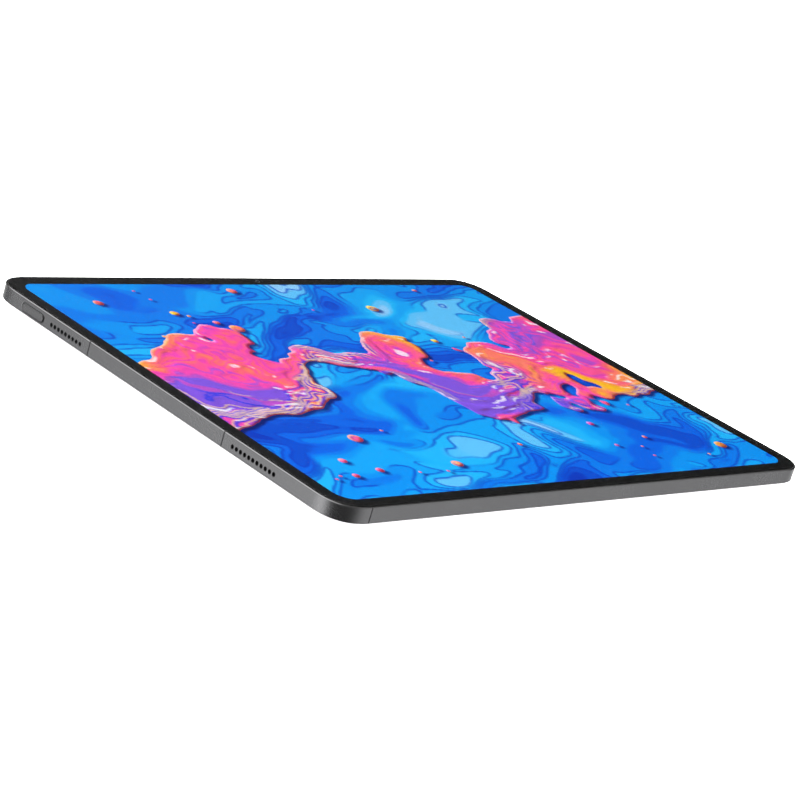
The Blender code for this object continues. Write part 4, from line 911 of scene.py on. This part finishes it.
def picture(X, Y):
    """Two pictures of marbled paint, ground and splash, as colours, and how far inside the splash each point is. X
    runs from 0 to 133.4 and Y from 0 to 100, down."""
    cell = X[0, 1] - X[0, 0]
    ground = blue_ground(X, Y, cell)
    # The warm band: a wave from side to side, its edges broken up by noise.
    x = X + 8 * cloud(X / 26, Y / 26, 5, 4)
    y = Y + 11 * cloud(X / 26, Y / 26, 25, 4)
    middle = 50 - 10 * np.sin(2 * np.pi * x / 120)
    half = 14 + 4 * np.sin(2 * np.pi * x / 55)
    band = half - np.abs(y - middle) + 7 * cloud(X / 15, Y / 15, 41, 3)
    depth = np.maximum(band, scattered_drops(X, Y))
    ribbons = cloud(x / 24, y / 9, 61, 3)
    layers = np.clip(depth, 0, 9) / 1.9 + 1.25 * ribbons
    hue = 0.5 + 0.6 * cloud(x / 30, y / 18, 71, 3) + 0.1 * np.sin(2 * np.pi * layers)
    splash = blend_of(stepped(hue, 9, 0.15), WARM)
    where = ease(cloud(x / 22, y / 15, 49, 2), -0.15, 0.3) * ease(depth, 0.1, 0.6)
    for shift, colour, width in ((0.0, (0.2, 0.22, 0.86), 0.42), (0.5, (1.0, 0.84, 0.62), 0.3)):
        splash = layered(splash, np.array(colour), 0.8 * line_on(layers + shift, cell, width) * where)
    # Thick rounded edges lit from the upper left, wet glints, and a shadow on the ground.
    height = 1.5 * np.sqrt(1 - (1 - np.clip(depth, 0, 1.5) / 1.5) ** 2) + 0.5 * cloud(x / 6, y / 4, 14, 3)
    fall_y, fall_x = np.gradient(height, cell)
    light = 0.55 * fall_x + 0.85 * fall_y
    splash = splash * (1 + 0.16 * np.clip(light, -1.2, 1.2))[..., None]
    splash = layered(splash, np.array([0.45, 0.06, 0.16]), 0.7 * ease(-light, 0.35, 1.3))
    splash = layered(splash, np.array([1.0, 0.96, 0.95]), 0.5 * ease(light, 0.7, 1.5))
    wet = cloud(x / 4.6, y / 1.7, 93, 2) - 0.74
    splash = layered(splash, np.ones(3), 0.8 * ease(wet, 0.0, 0.16) * ease(depth, 0.5, 1.3))
    cast = ease(moved(depth, round(0.5 / cell), round(1.0 / cell)), -0.7, 0.9)
    ground = ground * (1 - 0.6 * cast)[..., None] ** np.array([1.5, 1.3, 0.75])
    return ground, splash, depth


print("colours of the ground:", len(SKY), "and of the band:", len(WARM), "with", DROPS, "drops")

# %% [markdown]
# ## From fields to light
# The panel is a thin slab, and its top face is a sheet of fine cells whose corner points carry the picture.
# Two colours are stored at each point: the ground and the splash, with the distance inside the splash as
# the fourth number. The material compares that distance with zero, so the edge of the splash stays sharp
# between two points, where a plain colour would blur. The picture is emission, because a display gives
# light off rather than reflecting it.

# %% Make the display panel
PICTURE_Z = float(lcd_high[2])
COLUMNS, ROWS = 361, 270
across_x = np.linspace(-LIT[0], LIT[0], COLUMNS)
down_y = np.linspace(LIT[1], -LIT[1], ROWS)
cells_x, cells_y = np.meshgrid(across_x, down_y)
unit = 2 * LIT[1] / 100
ground, splash, inside = picture((cells_x + LIT[0]) / unit, (LIT[1] - cells_y) / unit)
print("splash covers", round(float((inside > 0).mean()) * 100), "% of the picture")

w = Wiring("lit_picture")
w.set(Base_Color=(0.003, 0.003, 0.003, 1.0), Roughness=0.4, Specular_IOR_Level=0.0, Emission_Strength=GLOW)
under, over = w.add("Attribute"), w.add("Attribute")
under.attribute_name, over.attribute_name = "ground", "splash"
depth = over.outputs["Alpha"]
grain = w.noise(700.0, 3.0, rough=0.6)
edge = w.span(w.math("ADD", depth, w.math("MULTIPLY_ADD", grain, 0.12, -0.06)), -0.07, 0.07)
paint = w.mix(edge, under.outputs["Color"], over.outputs["Color"])
paint = w.mix(w.span(grain, 0.35, 0.7, 0.0, 0.06), paint, (0.0, 0.0, 0.0))
w.link(paint, w.shader.inputs["Emission Color"])
w.rough(w.span(grain, 0.3, 0.7, 0.35, 0.45))

sheet = np.stack([cells_x, cells_y, np.full_like(cells_x, PICTURE_Z)], axis=2)
border = np.concatenate([sheet[0, :-1], sheet[:-1, -1], sheet[-1, :0:-1], sheet[:0:-1, 0]])
under_border = border - [0, 0, 0.45 * MM]
display = piece("display_panel", [patches(sheet),
                                  patches(closed([border, under_border, under_border * [0, 0, 1]]))],
                w.material, ["lcd_panel"])


def linear(value):
    """Screen numbers turned into amounts of light."""
    value = np.clip(value, 0, 1)
    return np.where(value <= 0.04045, value / 12.92, ((value + 0.055) / 1.055) ** 2.4)


spots = np.empty(len(display.data.vertices) * 3, np.float32)
display.data.vertices.foreach_get("co", spots)
spots = spots.reshape(-1, 3)
column = np.clip(np.round((spots[:, 0] + LIT[0]) / (across_x[1] - across_x[0])), 0, COLUMNS - 1).astype(int)
row = np.clip(np.round((LIT[1] - spots[:, 1]) / (down_y[0] - down_y[1])), 0, ROWS - 1).astype(int)
for name, colours, extra in (("ground", ground, np.ones_like(inside)), ("splash", splash, inside)):
    layer = display.data.attributes.new(name, "FLOAT_COLOR", "POINT")
    packed = np.dstack([linear(colours), extra])[row, column]
    layer.data.foreach_set("color", packed.astype(np.float32).ravel())
print("painted", len(spots), "points")

# %% [markdown]
# ## Camera plate, lens and flash
# The plate on the back is a thick pill with two openings. Its flat faces are each split down the middle, and
# each half is drawn in to its own opening.

# %% Make the camera plate
island_low, island_high = (np.array(c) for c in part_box("camera_island"))
ring_low, ring_high = (np.array(c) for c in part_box("lens_ring"))
lens_spot, flash_spot = middle("lens_glass"), middle("flash_lens")
RING_HALF = float(extent("lens_ring")[0]) / 2
SHELF = float(ring_high[2]) + 0.1 * MM
plate_loop, plate_out = pill_loop(32 * MM, 15 * MM, 1.0 * MM)
at = np.array([island[0], island[1], 0.0])
UNDER, TOP = float(island_low[2]), float(island_high[2])
plate_rows = [(plate_loop + g * plate_out, -h) for g, h in rolled(0.4 * MM, -UNDER, 7)]
plate_rows += [(plate_loop, 0.2 * MM), (plate_loop - 0.08 * MM * plate_out, TOP),
               (plate_loop - 0.4 * MM * plate_out, TOP)]
plate_rows = [(f, -h) for f, h in plate_rows]
rows = placed(plate_rows, at, X, Y, -Z)
heap = [patches(rows)]
lens_bore = [(RING_HALF + 0.1 * MM + 0.06 * MM, UNDER), (RING_HALF + 0.1 * MM, UNDER + 0.06 * MM),
             (RING_HALF + 0.1 * MM, SHELF),
             (3.7 * MM, SHELF), (3.7 * MM, TOP)]
flash_bore = [(2.36 * MM, UNDER), (2.3 * MM, UNDER + 0.06 * MM), (2.3 * MM, TOP)]
for level, row, reverse in ((UNDER, rows[0][:-1], False), (TOP, rows[-1][:-1], True)):
    for half, (spot, bore) in zip(halves(row, at, X, Y), ((lens_spot, lens_bore), (flash_spot, flash_bore))):
        used = bore[-1:] if reverse else bore
        rings = [(2 * r, 2 * r, r * 0.9999, z - level) for r, z in used]
        heap.append(punch(half, np.array([spot[0], spot[1], level]), X, Y, -Z, rings))
piece("camera_plate", heap, anodised("anodised_plate", (0.2, 0.2, 0.206), (0.25, 0.25, 0.256)),
      ["camera_island"])

# %% [markdown]
# ## Turned pieces
# A lens, a trim ring and a flash window are all round, so each is a profile turned about an axis, as on a
# lathe. The Screw modifier would turn the same profile, but a grid in numpy closes its own seam and its
# poles. The flash window has the stepped rings that spread its light, and the lens shows faint rings of
# coating, which are a colour ramp read at the distance from its axis.

# %% Make the lenses, the trim ring and the flash
def turned(name, profile, centre, material, stands_for=(), count=64, body="tablet"):
    """A profile of (radius, height) pairs turned about an upright axis."""
    turn = np.linspace(0, 2 * np.pi, count + 1)
    turn[-1] = 0.0
    rows = [np.column_stack([r * np.cos(turn), r * np.sin(turn), 0 * turn + z])
            + [centre[0], centre[1], 0.0] for r, z in profile]
    return piece(name, [patches(np.array(rows))], material, stands_for, body, 40.0)


trim = anodised("polished_trim", (0.45, 0.45, 0.46), (0.52, 0.52, 0.53))
ring_in, ring_out, base = RING_HALF - 0.7 * MM, RING_HALF, float(ring_low[2])
turned("lens_trim", [(ring_in, float(ring_high[2])), (ring_in, base + 0.25 * MM),
                     (ring_in + 0.22 * MM, base + 0.03 * MM), (ring_in + 0.3 * MM, base),
                     (ring_out - 0.16 * MM, base), (ring_out - 0.05 * MM, base + 0.05 * MM),
                     (ring_out, base + 0.16 * MM),
                     (ring_out, float(ring_high[2])), (ring_in, float(ring_high[2]))], lens_spot, trim,
                     ["lens_ring"])


def lens_look(name):
    """Dark lens glass with rings of coating that shift from violet to green."""
    w = Wiring(name)
    place = w.spots()
    offset = w.add("VectorMath")
    offset.operation = "DISTANCE"
    w.link(w.add("CombineXYZ", X=w.add("SeparateXYZ", Vector=place).outputs["X"],
                 Y=w.add("SeparateXYZ", Vector=place).outputs["Y"]).outputs[0],
           offset.inputs[0])
    offset.inputs[1].default_value = (lens_spot[0], lens_spot[1], 0.0)
    ring = w.span(offset.outputs["Value"], 0.0, float(ring_in))
    tint = w.ramp(ring, ((0.0, (0.012, 0.012, 0.03)), (0.28, (0.02, 0.012, 0.045)),
                         (0.33, (0.002, 0.002, 0.003)), (0.48, (0.004, 0.012, 0.012)),
                         (0.55, (0.03, 0.03, 0.035)), (0.58, (0.004, 0.004, 0.005)),
                         (0.9, (0.006, 0.006, 0.007)), (1.0, (0.02, 0.02, 0.022))))
    w.colour(w.mix(w.span(w.noise(2500.0, 3.0), 0.4, 0.7), tint, (0.008, 0.008, 0.01)))
    w.rough(w.span(w.noise(300.0, 3.0), 0.3, 0.7, 0.02, 0.06))
    w.set(Coat_Weight=1.0, Coat_Roughness=0.02)
    return w.material


lens_low, lens_high = float(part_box("lens_glass")[0][2]), float(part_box("lens_glass")[1][2])
lens_r = float(extent("lens_glass")[0]) / 2
turned("lens_window", [(0, lens_high), (lens_r, lens_high), (lens_r, lens_low + 0.1 * MM),
                       (lens_r - 0.1 * MM, lens_low), (lens_r * 0.5, lens_low), (0, lens_low)],
       lens_spot, lens_look("lens_coating"), ["lens_glass"])
front_z = max(PRINT_LOW - 0.14 * MM, float(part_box("front_camera")[1][2]) + 0.005 * MM)
print("front lens", round((GLASS_LOW - front_z) / MM, 3), "mm under the glass")
front_glass = film("front_lens_glass", (0.004, 0.008, 0.02), 0.04)
bright_trim = dotted("front_trim_steel", (0.62, 0.66, 0.7), (0.72, 0.75, 0.78), 3000.0, 0.5, 0.2, 0.1, 0.6)
turned("front_lens", [(0, front_z), (0.66 * MM, front_z), (0.58 * MM, front_z + 0.05 * MM),
                      (0.35 * MM, front_z + 0.085 * MM),
                      (0, front_z + 0.1 * MM)], (camera_x, camera_y), front_glass, (), 40)
front_ring = [(0.7, 0.0), (1.2, 0.0), (1.2, 0.06), (1.12, 0.1), (0.7, 0.06), (0.7, 0.0)]
turned("front_trim", [(r * MM, front_z + h * MM) for r, h in front_ring], (camera_x, camera_y), bright_trim,
       (), 40)
flash_low, flash_high = float(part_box("flash_lens")[0][2]), float(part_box("flash_lens")[1][2])
flash_r = float(extent("flash_lens")[0]) / 2
steps = [(0, flash_high), (flash_r, flash_high), (flash_r, flash_low + 0.1 * MM),
         (flash_r - 0.1 * MM, flash_low)]
for i in range(5, 0, -1):
    steps += [(flash_r * (0.15 + 0.15 * i), flash_low),
              (flash_r * (0.15 + 0.15 * i) - 0.1 * MM, flash_low + 0.12 * MM)]
steps += [(flash_r * 0.1, flash_low + 0.05 * MM), (0, flash_low)]
w = Wiring("flash_diffuser")
w.set(IOR=1.46, Transmission_Weight=0.85, Base_Color=(0.95, 0.93, 0.86, 1.0))
w.rough(w.span(w.noise(4000.0, 3.0), 0.3, 0.7, 0.18, 0.34))
w.bump(w.noise(2500.0, 2.0), 0.2, 0.00003)
turned("flash_window", steps, flash_spot, w.material, ["flash_lens"])
gilt = dotted("contact_gilt", (0.6, 0.41, 0.16), (0.72, 0.52, 0.24), 3000.0, 0.28, 0.3, 0.1, 1.0)
for n, spot in zip(("left", "middle", "right"), contact_spots):
    foot, head = (float(c[2]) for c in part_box(f"contact_{n}"))
    r = float(extent(f"contact_{n}")[0]) / 2
    dish = [(0, head), (r, head), (r, foot + 0.1 * MM), (r - 0.03 * MM, foot + 0.03 * MM),
            (r - 0.1 * MM, foot),
            (r - 0.35 * MM, foot), (r - 0.45 * MM, foot + 0.04 * MM), (0, foot + 0.05 * MM)]
    turned(f"contact_button_{n}", dish, spot, gilt, [f"contact_{n}"], 40)

# %% [markdown]
# ## Socket
# The socket in the right side is a short steel tube with a flattened round outline, folded from thin sheet,
# with a tongue inside that carries the contacts. It is one pill outline at a list of depths: round the
# outside, over the rolled mouth, and back along the inside to a closed end.

# %% Make the socket
steel = dotted("bright_steel", (0.45, 0.45, 0.46), (0.56, 0.56, 0.57), 3000.0, 0.3, 0.3, 0.1, 1.0)
shell_low, shell_high = (np.array(c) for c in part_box("usb_shell"))
size_y, size_z = float(shell_high[1] - shell_low[1]), float(shell_high[2] - shell_low[2])
mouth, back_end = float(shell_high[0]), float(shell_low[0])
loop_p, loop_w = pill_loop(size_y, size_z, 0.6 * MM)
core = np.column_stack([np.clip(loop_p[:, 0], -(size_y - size_z) / 2, (size_y - size_z) / 2),
                        0 * loop_p[:, 0]])
SHEET = 0.3 * MM
rows = [(core, back_end), (loop_p, back_end), (loop_p, mouth - 0.05 * MM),
        (loop_p - 0.05 * MM * loop_w, mouth),
        (loop_p - (SHEET - 0.08 * MM) * loop_w, mouth), (loop_p - SHEET * loop_w, mouth - 0.08 * MM),
        (loop_p - SHEET * loop_w, back_end + 0.4 * MM), (core, back_end + 0.4 * MM)]
piece("socket_shell", [patches(placed(rows, np.array([0.0, float(port[1]), float(port[2])]), Y, Z, X))],
      steel, ["usb_shell"])

# %% [markdown]
# ## What stays inside
# The solids behind the glass keep their shape, since a battery cell or a circuit board really is that plain.
# They get materials of their own: foil with a brushed look, green boards with a weave and fine tracks, amber
# film, matte plastic and spring steel. Each material belongs to a slot of the record, and a loop over the
# shown solids swaps them in.

# %% Materials for the solids that stay
board = Wiring("circuit_board_green")
tracks = board.add("TexBrick", Scale=420.0, Vector=board.spots(), Mortar_Size=0.06,
                   Color1=(0.008, 0.045, 0.02, 1),
                   Color2=(0.012, 0.06, 0.028, 1), Mortar=(0.05, 0.11, 0.03, 1))
board.colour(board.mix(board.span(board.noise(1800.0, 3.0), 0.5, 0.75, 0.0, 0.5), tracks.outputs["Color"],
                       (0.01, 0.03, 0.015)))
board.rough(board.span(board.noise(900.0, 3.0), 0.3, 0.7, 0.28, 0.5))
board.bump(board.math("SUBTRACT", 1.0, tracks.outputs["Fac"]), 0.3, 0.00003)
amber = Wiring("amber_film")
lines = amber.add("TexWave", Scale=260.0, Vector=amber.spots(), Distortion=0.6).outputs["Fac"]
amber.colour(amber.ramp(lines, ((0.35, (0.32, 0.12, 0.015)), (0.6, (0.42, 0.18, 0.03)))))
amber.rough(amber.span(amber.noise(1500.0, 3.0), 0.3, 0.7, 0.25, 0.45))
amber.bump(lines, 0.25, 0.00002)
foil = Wiring("battery_wrap")
crease, cloud = foil.noise(700.0, 5.0, rough=0.7), foil.noise(60.0, 3.0)
foil.set(Metallic=0.6)
foil.colour(foil.ramp(cloud, ((0.3, (0.045, 0.045, 0.05)), (0.7, (0.075, 0.075, 0.08)))))
foil.rough(foil.span(crease, 0.3, 0.7, 0.35, 0.6))
foil.bump(crease, 0.35, 0.00005)
FINISH = {
    "grey_aluminium": plain_metal, "steel": steel, "circuit_board": board.material,
    "polyimide": amber.material,
    "battery_foil": foil.material, "black_foam": rubber,
    "black_glass": film("black_film", (0.006, 0.006, 0.007), 0.3),
    "dark_plastic": dotted("moulded_plastic", (0.018, 0.018, 0.019), (0.032, 0.032, 0.034), 2500.0, 0.5),
    "clear_plastic": dotted("milky_plastic", (0.55, 0.56, 0.57), (0.68, 0.69, 0.7), 900.0, 0.25),
    "lit_screen": film("panel_back", (0.02, 0.02, 0.022), 0.35),
    "gold": dotted("gold_plate", (0.75, 0.48, 0.16), (0.86, 0.58, 0.22), 4000.0, 0.24, 0.3, 0.1, 1.0),
}
changed = 0
for node in nodes.values():
    for slot in node.material_slots:
        if slot.material is not None:
            finish = next((FINISH[key] for key in FINISH if slot.material.name.startswith(key)), None)
            if finish is not None:
                slot.material = finish
                changed += 1
print(changed, "solids given their finish")

# %% [markdown]
# ## Floor
# The tablet stands on a white light table: a plain pale sheet that glows a little itself, so that hardly
# any shadow shows under the edges. It is left out of mirror reflections, which come from the room alone.

# %% Floor
w = Wiring("floor_paint")
w.colour(w.ramp(w.noise(3.0, 4.0), ((0.3, (0.93, 0.93, 0.93)), (0.7, (0.96, 0.96, 0.96)))))
w.rough(w.span(w.noise(40.0, 3.0), 0.3, 0.7, 0.8, 0.95))
w.bump(w.noise(300.0, 2.0), 0.05, 0.0005)
w.set(Emission_Color=(1.0, 1.0, 1.0, 1.0), Emission_Strength=0.9)
floor_z = float(cad_box[0][2]) - 0.1 * MM
floor_x, floor_y = np.meshgrid(np.linspace(-14, 14, 15), np.linspace(-14, 14, 15))
floor_points, floor_faces = weld([patches(np.stack([floor_x, floor_y, np.full_like(floor_x, floor_z)],
                                                   axis=2))])
floor_mesh = bpy.data.meshes.new("floor")
floor_mesh.from_pydata(floor_points, [], floor_faces)
floor_mesh.materials.append(w.material)
floor = bpy.data.objects.new("floor", floor_mesh)
bpy.context.scene.collection.objects.link(floor)
floor.visible_glossy = False
print("floor", [round(side, 2) for side in floor.dimensions], "m")

# %% [markdown]
# ## Light
# Anodised metal shows little of its own colour and mostly mirrors the room. So the room is drawn for it: a
# band of brightness round the horizon for the side walls, which decides where each corner turns light and
# dark, and a second band higher up for the glass. Rays that aren't mirror reflections see an even white
# room, which gives soft light without shadows.

# %% World
world = bpy.data.worlds.new("studio")
bpy.context.scene.world = world
world.use_nodes = True
tree = world.node_tree


def world_node(kind, **inputs):
    node = tree.nodes.new("ShaderNode" + kind)
    for key, value in inputs.items():
        if isinstance(value, bpy.types.NodeSocket):
            tree.links.new(value, node.inputs[key.replace("_", " ")])
        else:
            node.inputs[key.replace("_", " ")].default_value = value
    return node


def world_math(operation, a, b=0.0, c=0.0):
    node = tree.nodes.new("ShaderNodeMath")
    node.operation = operation
    for socket, value in zip(node.inputs, (a, b, c)):
        if isinstance(value, bpy.types.NodeSocket):
            tree.links.new(value, socket)
        else:
            socket.default_value = value
    return node.outputs[0]


way = world_node("SeparateXYZ", Vector=world_node("TexCoord").outputs["Generated"])
turn = world_math("ARCTAN2", way.outputs["Y"], way.outputs["X"])
share = world_math("ADD", world_math("DIVIDE", turn, 2 * math.pi), 0.5)
# Lamps round the room: direction from +X towards +Y and reach, both in degrees, then brightness. The first
# list lights the side walls, and the second, higher up, lights the glass.
WALL_LAMPS = [(5, 25, 0.5), (50, 35, 1.4), (120, 15, 0.25), (155, 20, 1.4), (310, 30, 0.6)]
GLASS_LAMPS = [(70, 25, 0.4), (125, 45, 1.2), (190, 30, 0.4), (335, 25, 0.3)]
WALL_DIM, GLASS_DIM = 0.02, 0.08
RAMP_STOPS = 31


def lamp_ring(lamps, dimmest):
    """Brightness round the horizon as a socket: soft lamps over a dim room."""
    places = np.linspace(0, 1, RAMP_STOPS)
    light = np.full(RAMP_STOPS, dimmest)
    for direction, spread, bright in lamps:
        away = (places * 360 - direction) % 360 - 180
        light = light + bright * np.exp(-((away / spread) ** 2))
    ramp = world_node("ValToRGB")
    elements = ramp.color_ramp.elements
    while len(elements) < RAMP_STOPS:
        elements.new(0.5)
    for element, place, value in zip(elements, places, light / light.max()):
        element.position = float(place)
        element.color = (float(value),) * 3 + (1.0,)
    tree.links.new(share, ramp.inputs["Fac"])
    print("ring of", len(lamps), "lamps, brightest", round(float(light.max()), 2))
    return world_math("MULTIPLY", ramp.outputs["Color"], float(light.max()))


low = lamp_ring(WALL_LAMPS, WALL_DIM)
high = lamp_ring(GLASS_LAMPS, GLASS_DIM)
level = world_node("MapRange", Value=way.outputs["Z"])
for key, value in (("From Min", 0.4), ("From Max", 0.52), ("To Min", 0.12), ("To Max", 1.0)):
    level.inputs[key].default_value = value
floor_shade = world_node("MapRange", Value=way.outputs["Z"])
for key, value in (("From Min", -0.72), ("From Max", -0.5), ("To Min", 0.06), ("To Max", 1.0)):
    floor_shade.inputs[key].default_value = value
high = world_math("MULTIPLY", high, level.outputs["Result"])
low = world_math("MULTIPLY", low, floor_shade.outputs["Result"])
rise = world_node("MapRange", Value=way.outputs["Z"])
for key, value in (("From Min", -0.17), ("From Max", -0.08)):
    rise.inputs[key].default_value = value
mirrored = world_node("Mix", Factor=rise.outputs["Result"])
tree.links.new(low, mirrored.inputs[2])
tree.links.new(high, mirrored.inputs[3])
paths = world_node("LightPath")
glossy = paths.outputs["Is Glossy Ray"]
chosen = world_node("Mix", Factor=glossy)
chosen.inputs[2].default_value = 5.0
tree.links.new(mirrored.outputs[0], chosen.inputs[3])
background = tree.nodes["Background"]
background.inputs["Color"].default_value = (1, 1, 1, 1)
tree.links.new(chosen.outputs[0], background.inputs["Strength"])

# %% [markdown]
# ## Camera
# A long lens looks down on the near left corner from about eighteen degrees. The far sides draw together
# only a little, as they do in a product picture. The small shift moves the frame without turning the camera.

# %% Camera
camera = bpy.data.objects.new("camera", bpy.data.cameras.new("camera"))
bpy.context.scene.collection.objects.link(camera)
up, back = (Vector(v).normalized() for v in ((0.03484, 0.41182, 0.91060), (-0.73249, -0.60933, 0.30360)))
right = up.cross(back).normalized()
up = back.cross(right)
matrix = Matrix((right, up, back)).transposed().to_4x4()
matrix.translation = Vector((-0.7347, -0.6303, 0.3041))
camera.matrix_world = matrix
camera.data.lens, camera.data.sensor_width = 110.8, 36.0
camera.data.shift_x, camera.data.shift_y = -0.0529, 0.0120
camera.data.clip_start, camera.data.clip_end = 0.01, 100
bpy.context.scene.camera = camera
bpy.context.scene.view_settings.view_transform = "Standard"

print("camera", round(camera.matrix_world.translation.length, 3), "m from the middle")
